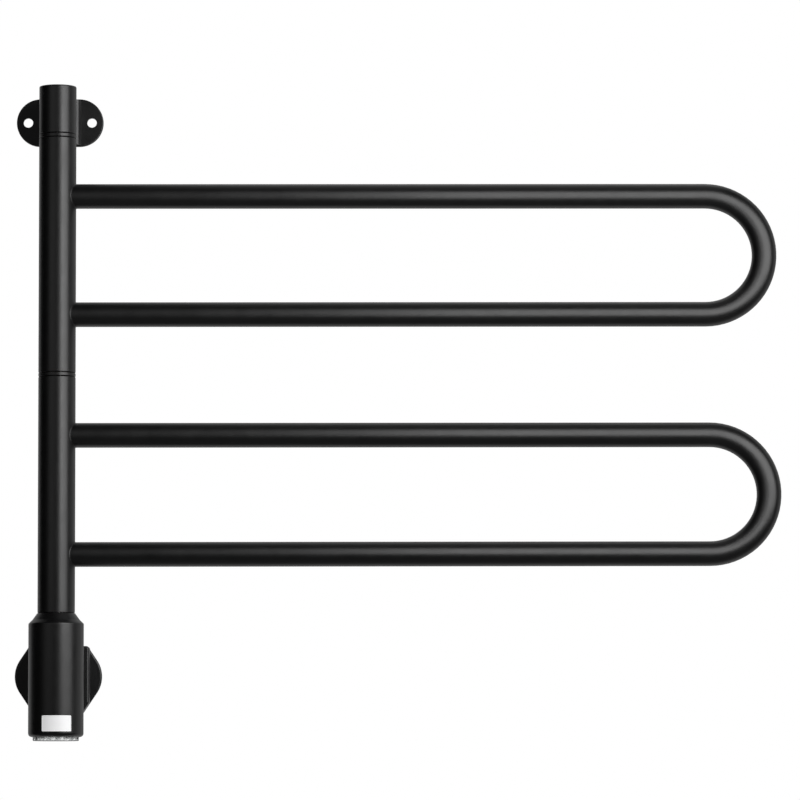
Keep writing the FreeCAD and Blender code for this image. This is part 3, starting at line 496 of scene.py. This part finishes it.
# %% [markdown]
# ## Black powder coat
# The brackets, the column, the arms and the housing are steel with a baked polyester powder coat: deep
# black, satin, and with the very fine orange peel that powder leaves when it melts. A plain black
# shader would look like plastic film. The coat mirrors only about four parts in a hundred, so the
# paint's own colour has to be almost nothing. Two clouds vary its colour and its gloss a little, which
# gives the soft dark patches on the front of the housing, and three give its relief: a swell of some
# twelve millimetres and two sizes of peel.

# %% Powder coat
powder_black = (0.0012, 0.0012, 0.0013)
deepest_black = (0.0008, 0.0008, 0.0009)
palest_black = (0.0017, 0.0017, 0.0018)

powder_coat = new_finish("black_powder_coat", powder_black, roughness=0.37)
tint(powder_coat, cloud(powder_coat, size_mm=7.0, detail=4.0), deepest_black, palest_black)
gloss(powder_coat, cloud(powder_coat, size_mm=11.0, detail=3.0), smoothest=0.335, roughest=0.405)
relief(powder_coat, cloud(powder_coat, size_mm=12.0), depth_mm=0.03)
relief(powder_coat, cloud(powder_coat, size_mm=2.2, detail=1.0), depth_mm=0.006)
relief(powder_coat, cloud(powder_coat, size_mm=0.7), depth_mm=0.0035)
count_nodes(powder_coat)

# %% [markdown]
# ## Bare steel
# The mast is bright drawn tube. It shows only as hair-thin rings between the sleeves, but it carries
# the arms. Drawing leaves fine lines along its length. An anisotropic shader could hint at them, but a
# cloud drawn out sixty times along the tube gives real lines, which also hold up close by.

# %% Drawn steel
steel_grey = (0.52, 0.51, 0.49)
darker_steel = (0.44, 0.43, 0.41)
paler_steel = (0.60, 0.59, 0.57)
draw_lines = (1.0, 1.0, 60.0)

drawn_steel = new_finish("drawn_steel", steel_grey, roughness=0.3, Metallic=1.0)
tint(drawn_steel, cloud(drawn_steel, size_mm=9.0, detail=4.0), darker_steel, paler_steel)
lines = cloud(drawn_steel, size_mm=0.5, detail=3.0, stretch=draw_lines)
gloss(drawn_steel, lines, smoothest=0.22, roughest=0.40)
relief(drawn_steel, cloud(drawn_steel, size_mm=0.35, stretch=draw_lines), depth_mm=0.004)
count_nodes(drawn_steel)

# %% [markdown]
# ## Screws
# The screws are zinc plated, or blackened where they should not be seen. Plating is pale and has a
# faint yellow and blue bloom, so its cloud runs between those two tints and not between a light and a
# dark grey. Blackened steel is nearly as dark as the paint but more metallic.

# %% Zinc plate and blackened steel
zinc_grey = (0.62, 0.63, 0.64)
yellow_bloom = (0.62, 0.61, 0.55)
blue_bloom = (0.58, 0.62, 0.68)
oxide_black = (0.025, 0.025, 0.028)
deeper_oxide = (0.016, 0.016, 0.018)
worn_oxide = (0.040, 0.040, 0.044)

zinc_plate = new_finish("zinc_plate", zinc_grey, roughness=0.32, Metallic=1.0)
tint(zinc_plate, cloud(zinc_plate, size_mm=3.0, detail=3.0), yellow_bloom, blue_bloom)
gloss(zinc_plate, cloud(zinc_plate, size_mm=0.8, detail=4.0), smoothest=0.24, roughest=0.42)
relief(zinc_plate, cloud(zinc_plate, size_mm=0.25), depth_mm=0.003)
count_nodes(zinc_plate)

blackened_steel = new_finish("blackened_steel", oxide_black, roughness=0.36, Metallic=0.7)
tint(blackened_steel, cloud(blackened_steel, size_mm=2.5, detail=4.0), deeper_oxide, worn_oxide)
gloss(blackened_steel, cloud(blackened_steel, size_mm=0.6, detail=3.0), smoothest=0.28, roughest=0.46)
relief(blackened_steel, cloud(blackened_steel, size_mm=0.3), depth_mm=0.003)
count_nodes(blackened_steel)

# %% [markdown]
# ## Rubber and milky silicone
# The grommet that takes the cable and the friction rings are black rubber, matt and faintly grainy from
# their mould, so their relief counts for more than their colour. The button's seal is milky silicone.
# Light goes into it and comes out dimmed, which part transmission and part white gives at less cost
# than scattering inside the piece.

# %% Rubber and milky silicone
rubber_black = (0.014, 0.014, 0.014)
deeper_rubber = (0.011, 0.011, 0.011)
dusty_rubber = (0.020, 0.020, 0.019)
silicone_white = (0.80, 0.82, 0.83)
dimmer_silicone = (0.74, 0.76, 0.78)
clearer_silicone = (0.86, 0.88, 0.88)

moulded_rubber = new_finish("moulded_rubber", rubber_black, roughness=0.7)
tint(moulded_rubber, cloud(moulded_rubber, size_mm=4.0, detail=4.0), deeper_rubber, dusty_rubber)
gloss(moulded_rubber, cloud(moulded_rubber, size_mm=1.5, detail=3.0), smoothest=0.58, roughest=0.82)
relief(moulded_rubber, cloud(moulded_rubber, size_mm=0.3), depth_mm=0.012)
count_nodes(moulded_rubber)

milky_silicone = new_finish(
    "milky_silicone", silicone_white, roughness=0.38, Transmission_Weight=0.75, IOR=1.41
)
tint(milky_silicone, cloud(milky_silicone, size_mm=2.0), dimmer_silicone, clearer_silicone)
relief(milky_silicone, cloud(milky_silicone, size_mm=0.6), depth_mm=0.006)
count_nodes(milky_silicone)

# %% [markdown]
# ## The heating cables
# The heating cables have a red-brown silicone jacket over a braid, whose crossed strands show through
# as a fine diamond relief. Modelled strands would be thousands of faces that nobody sees inside the
# arms. Two sets of diagonal waves that cross each other give the same diamonds.

# %% Braided silicone
jacket_red = (0.33, 0.075, 0.045)
darker_red = (0.28, 0.060, 0.036)
paler_red = (0.38, 0.095, 0.055)
strand_scale = 320.0
strand_waver = 0.3

braided_silicone = new_finish("braided_silicone", jacket_red, roughness=0.5)
tint(braided_silicone, cloud(braided_silicone, size_mm=5.0, detail=3.0), darker_red, paler_red)
for slant in (1.0, -1.0):
    strands = add_node(
        braided_silicone,
        "ShaderNodeTexWave",
        Vector=on_part(braided_silicone, (1.0, slant, slant)),
        Scale=strand_scale,
        Distortion=strand_waver,
    )
    strands.bands_direction = "DIAGONAL"
    relief(braided_silicone, strands.outputs["Fac"], depth_mm=0.05)
count_nodes(braided_silicone)

# %% [markdown]
# ## Wires
# The supply leads to the arms have a grey jacket. The two mains conductors that run from the terminal
# block to the board are told apart by colour, brown and blue. They could be two parts with a finish
# each, but they lie side by side, so one finish can colour them by which side of the middle they are
# on.

# %% Wire jackets
lead_grey = (0.34, 0.35, 0.37)
darker_lead = (0.29, 0.30, 0.32)
paler_lead = (0.40, 0.41, 0.43)
jacket_brown = (0.10, 0.035, 0.015)
brown = (0.12, 0.042, 0.018)
dark_brown = (0.08, 0.028, 0.012)
blue = (0.02, 0.06, 0.30)
colour_edge = 0.1 * mm

lead_jacket = new_finish("lead_jacket", lead_grey, roughness=0.42)
tint(lead_jacket, cloud(lead_jacket, size_mm=6.0, detail=3.0), darker_lead, paler_lead)
relief(lead_jacket, cloud(lead_jacket, size_mm=0.5), depth_mm=0.01)
count_nodes(lead_jacket)

mains_jackets = new_finish("mains_jackets", jacket_brown, roughness=0.40)
across = add_node(mains_jackets, "ShaderNodeSeparateXYZ", Vector=on_part(mains_jackets)).outputs["X"]
browns = blended(mains_jackets, cloud(mains_jackets, size_mm=4.0, detail=3.0), brown, dark_brown)
tint(mains_jackets, between(mains_jackets, across, -colour_edge, colour_edge, 0.0, 1.0), browns, blue)
gloss(mains_jackets, cloud(mains_jackets, size_mm=2.0), smoothest=0.34, roughest=0.46)
relief(mains_jackets, cloud(mains_jackets, size_mm=0.5), depth_mm=0.01)
count_nodes(mains_jackets)

# %% [markdown]
# ## Moulded nylon
# Bushes, blocks, relay and carrier are glass-filled nylon in three colours. The moulding leaves short
# pale flow marks, uneven gloss and the fine grain of a spark-eroded mould. All three differ only in
# colour and gloss, so one function makes them and each finish just names its limits.

# %% Moulded nylon
flow_marks = (1.0, 1.0, 2.5)


def moulded_nylon(name, darker, lighter, smoothest, roughest):
    """Glass-filled nylon between two shades and two values of roughness."""
    nylon = new_finish(name, lighter, roughest)
    tint(nylon, cloud(nylon, size_mm=3.5, detail=5.0, stretch=flow_marks), darker, lighter)
    gloss(nylon, cloud(nylon, size_mm=1.8, detail=3.0), smoothest, roughest)
    relief(nylon, cloud(nylon, size_mm=0.28), depth_mm=0.012)
    count_nodes(nylon)
    return nylon


white_nylon = moulded_nylon(
    "white_nylon",
    darker=(0.66, 0.65, 0.61),
    lighter=(0.75, 0.74, 0.70),
    smoothest=0.42,
    roughest=0.60,
)
grey_nylon = moulded_nylon(
    "grey_nylon",
    darker=(0.24, 0.25, 0.26),
    lighter=(0.31, 0.32, 0.33),
    smoothest=0.40,
    roughest=0.58,
)
black_nylon = moulded_nylon(
    "black_nylon",
    darker=(0.010, 0.010, 0.011),
    lighter=(0.018, 0.018, 0.019),
    smoothest=0.36,
    roughest=0.54,
)

# %% [markdown]
# ## The timer board
# Through the clear button one can make out the underside of the timer board: green solder resist over
# copper tracks, with a dot of solder at each joint. A drawn circuit isn't needed, because only its
# grain shows. Tracks run in straight lines, which a brick pattern with thin joints gives in two
# directions. A fine grid of cells makes the joints, and only a round spot in the middle of each cell is
# bright metal.

# %% Solder resist and tracks
resist_green = (0.012, 0.11, 0.035)
resist_dark = (0.010, 0.085, 0.028)
resist_over_track = (0.030, 0.190, 0.060)
brick = (0.0, 0.0, 0.0, 1.0)
brick_joint = (1.0, 1.0, 1.0, 1.0)
track_scale = 260.0
track_width = 0.07
rows_per_shift = 3

solder_resist = new_finish(
    "solder_resist", resist_green, roughness=0.28, Coat_Weight=0.3, Coat_Roughness=0.1
)
tracks = add_node(
    solder_resist,
    "ShaderNodeTexBrick",
    Vector=on_part(solder_resist),
    Color1=brick,
    Color2=brick,
    Mortar=brick_joint,
    Scale=track_scale,
    Mortar_Size=track_width,
)
tracks.offset_frequency = rows_per_shift
over_tracks = blended(solder_resist, tracks.outputs["Fac"], resist_dark, resist_over_track)
row_height = tracks.inputs["Row Height"].default_value / track_scale
print("rows of tracks lie", round(row_height / mm, 2), "mm apart")

# %% Solder joints
solder = (0.55, 0.55, 0.53)
joint_scale = 380.0
joint_wander = 0.25
joint_radius = 0.20
joint_edge = 0.24

joint_cells = add_node(
    solder_resist,
    "ShaderNodeTexVoronoi",
    Vector=on_part(solder_resist),
    Scale=joint_scale,
    Randomness=joint_wander,
)
is_joint = between(solder_resist, joint_cells.outputs["Distance"], joint_radius, joint_edge, 1.0, 0.0)
tint(solder_resist, is_joint, over_tracks, solder)
wire(solder_resist, is_joint, shader_of(solder_resist).inputs["Metallic"])
relief(solder_resist, is_joint, depth_mm=0.15)
relief(solder_resist, tracks.outputs["Fac"], depth_mm=0.03)
count_nodes(solder_resist)

# %% [markdown]
# ## Capacitor and lights
# The capacitor has a shiny dark shrink sleeve with a pale stripe down one side. The stripe could be a
# thin piece of its own, but it is printed flat on the real sleeve, so the finish changes colour a
# little way in from that side. The indicator lights are lenses of tinted plastic that let some light
# through.

# %% Capacitor sleeve and light lens
sleeve_blue = (0.012, 0.014, 0.035)
stripe_grey = (0.50, 0.52, 0.55)
stripe_share = 0.12
lens_red = (0.75, 0.12, 0.06)
darker_lens = (0.70, 0.09, 0.045)
paler_lens = (0.80, 0.16, 0.08)

capacitor_sleeve = new_finish("capacitor_sleeve", sleeve_blue, roughness=0.22)
capacitor_low, capacitor_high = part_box("board_capacitor")
stripe_end = capacitor_low.x + (capacitor_high.x - capacitor_low.x) * stripe_share
capacitor_across = add_node(capacitor_sleeve, "ShaderNodeSeparateXYZ", Vector=on_part(capacitor_sleeve))
from_side = capacitor_across.outputs["X"]
in_stripe = between(capacitor_sleeve, from_side, stripe_end, stripe_end + colour_edge, 1.0, 0.0)
tint(capacitor_sleeve, in_stripe, sleeve_blue, stripe_grey)
relief(capacitor_sleeve, cloud(capacitor_sleeve, size_mm=1.2), depth_mm=0.02)
print("stripe of the capacitor:", round((stripe_end - capacitor_low.x) / mm, 2), "mm wide")

light_lens = new_finish("light_lens", lens_red, roughness=0.12, Transmission_Weight=0.6, IOR=1.5)
tint(light_lens, cloud(light_lens, size_mm=1.5), darker_lens, paler_lens)
count_nodes(light_lens)

# %% [markdown]
# ## Clear acrylic
# The button is injection moulded in clear acrylic. Its mottled look comes from the dark parts behind it
# and from the way its flutes bend the light. The flutes are modelled and the finish stays clear, but its
# colour also paints soft grey patches that run into clear ones: painted reflection of the dark parts
# behind and round the button.

# %% Clear acrylic
acrylic_clear = (0.95, 0.96, 0.96)
# painted reflection: the grey patches stand in for the dark parts behind the button, not for a colour of the
# acrylic
painted_reflection_grey = (0.30, 0.31, 0.31)
clear_beside_painted_reflection = (0.86, 0.87, 0.87)
painted_reflection_low = 0.4
painted_reflection_high = 0.6

clear_acrylic = new_finish(
    "clear_acrylic", acrylic_clear, roughness=0.04, Transmission_Weight=1.0, IOR=1.49
)
# patches of painted reflection: the clear colour turns grey where the cloud is low
painted_reflection_share = between(clear_acrylic, cloud(clear_acrylic, size_mm=7.0), painted_reflection_low, painted_reflection_high, 0.0, 1.0)
tint(clear_acrylic, painted_reflection_share, painted_reflection_grey, clear_beside_painted_reflection)
gloss(clear_acrylic, cloud(clear_acrylic, size_mm=2.5, detail=3.0), smoothest=0.02, roughest=0.10)
relief(clear_acrylic, cloud(clear_acrylic, size_mm=3.0), depth_mm=0.04)
count_nodes(clear_acrylic)

# %% [markdown]
# ## Badge film
# The badge is a small curved plate under a satin white film. Film lies smooth and bright, so a weak
# clear coat over nearly white does more than relief would.

# %% Badge film
film_white = (0.88, 0.88, 0.88)
dimmer_film = (0.86, 0.86, 0.865)
brighter_film = (0.90, 0.90, 0.90)

badge_film = new_finish("badge_film", film_white, roughness=0.38, Coat_Weight=0.25, Coat_Roughness=0.2)
tint(badge_film, cloud(badge_film, size_mm=5.0, detail=3.0), dimmer_film, brighter_film)
gloss(badge_film, cloud(badge_film, size_mm=1.0, detail=3.0), smoothest=0.32, roughest=0.46)
relief(badge_film, cloud(badge_film, size_mm=0.25), depth_mm=0.004)
count_nodes(badge_film)

# %% [markdown]
# ## Dressing the solid parts
# The parts whose shape the solid model already has keep that shape, and only get their finish. Each
# could be given its finish in a line of its own, but a list of finishes and part names says at a glance
# what the object is made of.

# %% Give each part its finish
finish_of_parts = [
    (powder_coat, "upper_wall_bracket column_end_cap column_top_tube upper_spacer_ring middle_spacer_ring"),
    (powder_coat, "neck_collar housing_shell connection_box lower_wall_plate"),
    (powder_coat, "upper_sleeve upper_arm_tube upper_arm_welds lower_sleeve lower_arm_tube lower_arm_welds"),
    (drawn_steel, "mast_top_plug mast_tube mast_foot swing_stop_pins"),
    (zinc_plate, "upper_bracket_bolt cable_clamp_screws board_screws housing_screws"),
    (blackened_steel, "mast_grub_screw box_lock_screw"),
    (moulded_rubber, "cable_grommet upper_friction_ring lower_friction_ring"),
    (milky_silicone, "button_seal"),
    (braided_silicone, "upper_heating_cable lower_heating_cable"),
    (lead_jacket, "arm_supply_leads upper_lead_loop lower_lead_loop"),
    (mains_jackets, "mains_leads"),
    (white_nylon, "upper_sleeve_top_bush upper_sleeve_bottom_bush mains_terminal_block"),
    (white_nylon, "lower_sleeve_top_bush lower_sleeve_bottom_bush push_switch_plunger"),
    (grey_nylon, "cable_clamp_bar board_terminal_block board_carrier_ring"),
    (black_nylon, "timer_relay push_switch_body"),
    (solder_resist, "control_board"),
    (capacitor_sleeve, "board_capacitor"),
    (light_lens, "indicator_lights"),
    (clear_acrylic, "timer_button"),
    (badge_film, "badge_plate"),
]
finished = set()
for finish, names in finish_of_parts:
    for name in names.split():
        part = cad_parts[name]
        if not part.material_slots:
            part.data.materials.append(finish)
        for material_slot in part.material_slots:
            material_slot.material = finish
        finished.add(name)
print("finished:", len(finished), "left bare:", sorted(set(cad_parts) - finished))

# %% [markdown]
# ## Tools for new pieces
# The pieces that follow are meshes made point by point: rows of points that run along the piece, joined
# by four-sided faces. Modifiers could bend and round plain shapes instead, but rows put each point
# where a formula says, so the size is exact. Each piece rides on the body that carries it, takes the
# place of the plain solid, and carries one of the finishes made above.

# %% Mesh helpers
def joined_rows(rows, closed_along, closed_across):
    """Faces between neighbouring rows of equal length. Rows and their points can close into loops."""
    count = len(rows)
    width = len(rows[0])
    faces = []
    for i in range(count if closed_along else count - 1):
        for j in range(width if closed_across else width - 1):
            here = i * width
            beyond = ((i + 1) % count) * width
            after = (j + 1) % width
            faces.append((here + j, beyond + j, beyond + after, here + after))
    return faces


def points_of(rows):
    """All points of the rows in one list, in the order that joined_rows counts them."""
    return [point for row in rows for point in row]


def new_piece(name, points, faces, finish, body):
    """A smooth mesh piece, in place, that rides on a body."""
    mesh = bpy.data.meshes.new(name)
    mesh.from_pydata([tuple(p) for p in points], [], faces)
    mesh.validate()
    mesh.update()
    for face in mesh.polygons:
        face.use_smooth = True
    mesh.materials.append(finish)
    piece = bpy.data.objects.new(name, mesh)
    bpy.context.scene.collection.objects.link(piece)
    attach(piece, body)
    print(name, "faces:", len(mesh.polygons))
    return piece


# %% [markdown]
# ## The welds
# Where each bar meets its sleeve, a small fillet weld runs round the joint and is painted over with the
# rest. Seen close, it is a row of overlapping ripples, one for each drop of filler. A bump in the
# finish would show them too, but not at the bead's outline, so they are modelled. The bead follows the
# curve in which the two tubes meet. At each step round the bar, a row of points goes from the toe on
# the sleeve through a slightly hollow face to the toe on the bar, and a wave lifts that face in
# crescents. A hollow bead is what careful welding leaves, and it mirrors less of the softbox than a
# swollen one would.

# %% One row across a bead
weld_leg = 0.8 * mm
weld_sink = 0.2 * mm
ripple_count = 30
ripple_height = 0.08 * mm
crescent_lag = 1.6
bead_points_across = 9
bead_swell = -0.30 * mm


def bead_row(turn, bar_height):
    """Points across the bead at one turn about the bar: toe on the sleeve, face, toe on the bar, root."""
    sideways = math.sin(turn)
    upright = math.cos(turn)
    toe_radius = bar_radius + weld_leg
    sleeve_toe_along = math.sqrt((sleeve_radius - weld_sink) ** 2 - (toe_radius * sideways) ** 2)
    sleeve_toe = Vector((sleeve_toe_along, toe_radius))
    seam = math.sqrt(sleeve_radius**2 - (bar_radius * sideways) ** 2)
    bar_toe = Vector((seam + weld_leg, bar_radius - weld_sink))
    root = Vector((seam - weld_leg, bar_radius - weld_sink))
    outwards = Vector((1.0, 1.0)).normalized()
    profile = []
    for step in range(bead_points_across):
        share = step / (bead_points_across - 1)
        arch = math.sin(math.pi * share)
        lag = crescent_lag * arch
        ripple = abs(math.cos((turn * ripple_count - lag) / 2)) * ripple_height
        profile.append(sleeve_toe.lerp(bar_toe, share) + outwards * arch * (bead_swell + ripple))
    profile.append(root)
    return [
        Vector((along, column_axis.y + away * sideways, bar_height + away * upright))
        for along, away in profile
    ]


print("points in a row across a bead:", len(bead_row(0.0, 0.0)))

# %% Weld beads
steps_per_ripple = 8
bead_steps = ripple_count * steps_per_ripple


def weld_beads(name, tube, sleeve_body, solid):
    """The two beads of one arm as a single piece. The bars' heights come from the arm tube's own box."""
    low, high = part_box(tube)
    points = []
    faces = []
    for bar_height in (high.z - bar_radius, low.z + bar_radius):
        rows = [bead_row(full_turn * step / bead_steps, bar_height) for step in range(bead_steps)]
        start = len(points)
        faces += [tuple(start + i for i in face) for face in joined_rows(rows, True, True)]
        points += points_of(rows)
    beads = new_piece(name, points, faces, powder_coat, sleeve_body)
    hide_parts(solid)


weld_beads("upper_arm_weld_beads", "upper_arm_tube", "upper_arm", "upper_arm_welds")
weld_beads("lower_arm_weld_beads", "lower_arm_tube", "lower_arm", "lower_arm_welds")

# %% [markdown]
# ## The badge
# The small white plate on the front of the housing is pressed: it has a narrow raised rim and a flat
# field a little more than a tenth of a millimetre lower, bent to the housing's curve. Its field is left
# plain. A bevelled block could be bent with a modifier, but a grid laid on the cylinder gives the rim
# its true section. The grid is closer at the edges, where the height changes, and the points near a
# corner are drawn in to round it.

# %% Badge sizes
badge_bearing = math.radians(4.5)
badge_half_width = 11.65 * mm
badge_corner = 0.9 * mm
badge_sink = 0.03 * mm
badge_low, badge_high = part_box("badge_plate")
badge_half_height = (badge_high.z - badge_low.z) / 2
badge_middle = (badge_high.z + badge_low.z) / 2
print("badge in mm:", in_mm(2 * badge_half_width), "by", in_mm(2 * badge_half_height))

# %% [markdown]
# ## The badge's rim
# The section through the rim is a short list of points, each an inset from the badge's edge and a
# height over the housing. A single round edge would be simpler, but the eye knows a pressed rim by its
# flat top between a rounded outside and a slope to the field.

# %% Section through the rim
rim_section = [
    (0.0 * mm, 0.24 * mm),
    (0.06 * mm, 0.30 * mm),
    (0.18 * mm, 0.34 * mm),
    (0.55 * mm, 0.34 * mm),
    (0.68 * mm, 0.30 * mm),
    (0.78 * mm, 0.22 * mm),
]
field_height = 0.2 * mm


def badge_height_at(inset):
    """Height over the housing at a distance from the badge's edge."""
    for (near, near_height), (far, far_height) in zip(rim_section, rim_section[1:]):
        if inset <= far:
            share = (inset - near) / (far - near)
            return near_height + (far_height - near_height) * share
    return field_height


print("rim over field:", in_mm(max(height for _, height in rim_section) - field_height), "mm")

# %% Grid of the badge
badge_steps = 24


def badge_lines(half):
    """Distances from the middle, fine near both ends and even between."""
    insets = [inset for inset, _ in rim_section] + [badge_corner]
    inner = half - badge_corner
    inner_lines = [inner * (2 * i / badge_steps - 1) for i in range(1, badge_steps)]
    return [inset - half for inset in insets] + inner_lines + [half - inset for inset in reversed(insets)]


def rounded(across, up):
    """The place drawn in towards a round corner, and its distance from the badge's edge."""
    corner_across = badge_half_width - badge_corner
    corner_up = badge_half_height - badge_corner
    past_across = abs(across) - corner_across
    past_up = abs(up) - corner_up
    inset = badge_corner - max(past_across, past_up)
    if past_across > 0 and past_up > 0:
        pull = max(past_across, past_up) / math.hypot(past_across, past_up)
        across = math.copysign(corner_across + past_across * pull, across)
        up = math.copysign(corner_up + past_up * pull, up)
    return across, up, inset


def badge_point(across, up, height):
    """A place on the badge, given as arc length and height from its middle, on the bent surface."""
    bearing = badge_bearing + across / housing_radius
    out = housing_radius + height
    return Vector((out * math.sin(bearing), column_axis.y - out * math.cos(bearing), badge_middle + up))


lines_up = badge_lines(badge_half_height)
lines_across = badge_lines(badge_half_width)
badge_grid = [[rounded(across, up) for across in lines_across] for up in lines_up]
badge_front = [[badge_point(a, u, badge_height_at(inset)) for a, u, inset in row] for row in badge_grid]
badge_back = [[badge_point(a, u, -badge_sink) for a, u, _ in row] for row in badge_grid]
print("grid of the badge:", len(lines_across), "by", len(lines_up))

# %% [markdown]
# ## The badge as one closed piece
# A sheet with only a front would look right from here, but it would have no thickness at its edge. So
# the same grid is laid a second time, sunk into the housing, and a band of faces round the border joins
# the two.

# %% Badge plate
row_count = len(badge_front)
row_width = len(badge_front[0])
last_row = row_count - 1
last_column = row_width - 1
front_count = row_count * row_width
badge_points = points_of(badge_front) + points_of(badge_back)
badge_faces = joined_rows(badge_front, False, False)
for face in joined_rows(badge_back, False, False):
    badge_faces.append(tuple(front_count + i for i in reversed(face)))
way_round = (
    [(0, j) for j in range(row_width)]
    + [(i, last_column) for i in range(1, row_count)]
    + [(last_row, j) for j in range(last_column - 1, -1, -1)]
    + [(i, 0) for i in range(last_row - 1, 0, -1)]
)
border = [i * row_width + j for i, j in way_round]
for here, after in zip(border, border[1:] + border[:1]):
    badge_faces.append((here, after, front_count + after, front_count + here))
badge = new_piece("badge_plate_pressed", badge_points, badge_faces, badge_film, "wall_frame")
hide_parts("badge_plate")

# %% [markdown]
# ## The push button
# The clear button is a moulded cup. What shows of it below the housing is a short skirt with shallow
# grip flutes and a slightly dished face. Inside are the flange that keeps it in, and the stem that
# pushes the switch. It could be built from cylinders, but clear plastic shows every inner wall, so the
# whole cup has to be one skin. The skin is turned like a bowl on a lathe: half of its section goes once
# round the axis.

# %% Button sizes
button_low, button_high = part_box("timer_button")
button_height = button_high.z - button_low.z
button_radius = 17.7 * mm
flange_bottom = 5.8 * mm
flange_top = 7.3 * mm
cup_wall = 2.0 * mm
cup_floor = 3.0 * mm
stem_radius = 3.0 * mm
print("button height in mm:", in_mm(button_height))

# %% [markdown]
# ## The section of the button
# The section starts near the middle of the face and ends at the top of the stem. Each of its points
# says how far out it lies, how high, and how much of the flutes it takes: nothing on the face, more and
# more round the lower edge, and all of it on the skirt.

# %% Face and lower edge
smooth = 0.0
full_flute = 1.0
dish_depth = 0.55 * mm
dish_steps = 6
edge_round = 0.6 * mm
edge_steps = 5

button_section = []
dish_reach = button_radius - 2 * edge_round
for step in range(1, dish_steps + 1):
    share = step / dish_steps
    rise = dish_depth * (1 - share**2) ** 2
    button_section.append((dish_reach * share, rise, smooth))
for step in range(edge_steps + 1):
    share = step / edge_steps
    turn = quarter_turn * share
    reach = button_radius - edge_round * (1 - math.sin(turn))
    rise = edge_round * (1 - math.cos(turn))
    button_section.append((reach, rise, full_flute * share))
print("points on the face and the lower edge:", len(button_section))

# %% Skirt, flange and stem
skirt_top = 2.6 * mm
button_section += [
    (button_radius, skirt_top - edge_round, full_flute),
    (button_radius, skirt_top, smooth),
    (button_radius, flange_bottom, smooth),
    (flange_radius, flange_bottom, smooth),
    (flange_radius, flange_top, smooth),
    (button_radius - cup_wall, flange_top, smooth),
    (button_radius - cup_wall, cup_floor, smooth),
    (stem_radius, cup_floor, smooth),
    (stem_radius, button_height, smooth),
]
print("points of the whole section:", len(button_section))

# %% [markdown]
# ## Turning the button
# At each step round the axis the section is laid down once more, and a wave with one crest for each
# flute presses its skirt in. The section leaves a small hole in the middle of the face and another at
# the stem's end. The first is closed by a fan of triangles to one point, and the second by a single
# flat face.

# %% Push button
flute_count = 18
flute_depth = 0.5 * mm
steps_per_flute = 12
button_steps = flute_count * steps_per_flute

button_rows = []
for step in range(button_steps):
    bearing = full_turn * step / button_steps
    flute = flute_depth * (1 - math.cos(flute_count * bearing)) / 2
    row = []
    for reach, rise, fluted in button_section:
        out = reach - flute * fluted
        spot = (out * math.sin(bearing), column_axis.y - out * math.cos(bearing), button_low.z + rise)
        row.append(Vector(spot))
    button_rows.append(row)

section_length = len(button_section)
button_points = points_of(button_rows)
button_faces = joined_rows(button_rows, True, False)
middle_point = len(button_points)
button_points.append(Vector((0.0, column_axis.y, button_low.z + dish_depth)))
for step in range(button_steps):
    after = (step + 1) % button_steps
    button_faces.append((middle_point, after * section_length, step * section_length))
button_faces.append(tuple((step + 1) * section_length - 1 for step in range(button_steps)))
button = new_piece(
    "timer_button_clear", button_points, button_faces, clear_acrylic, "button"
)
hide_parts("timer_button")
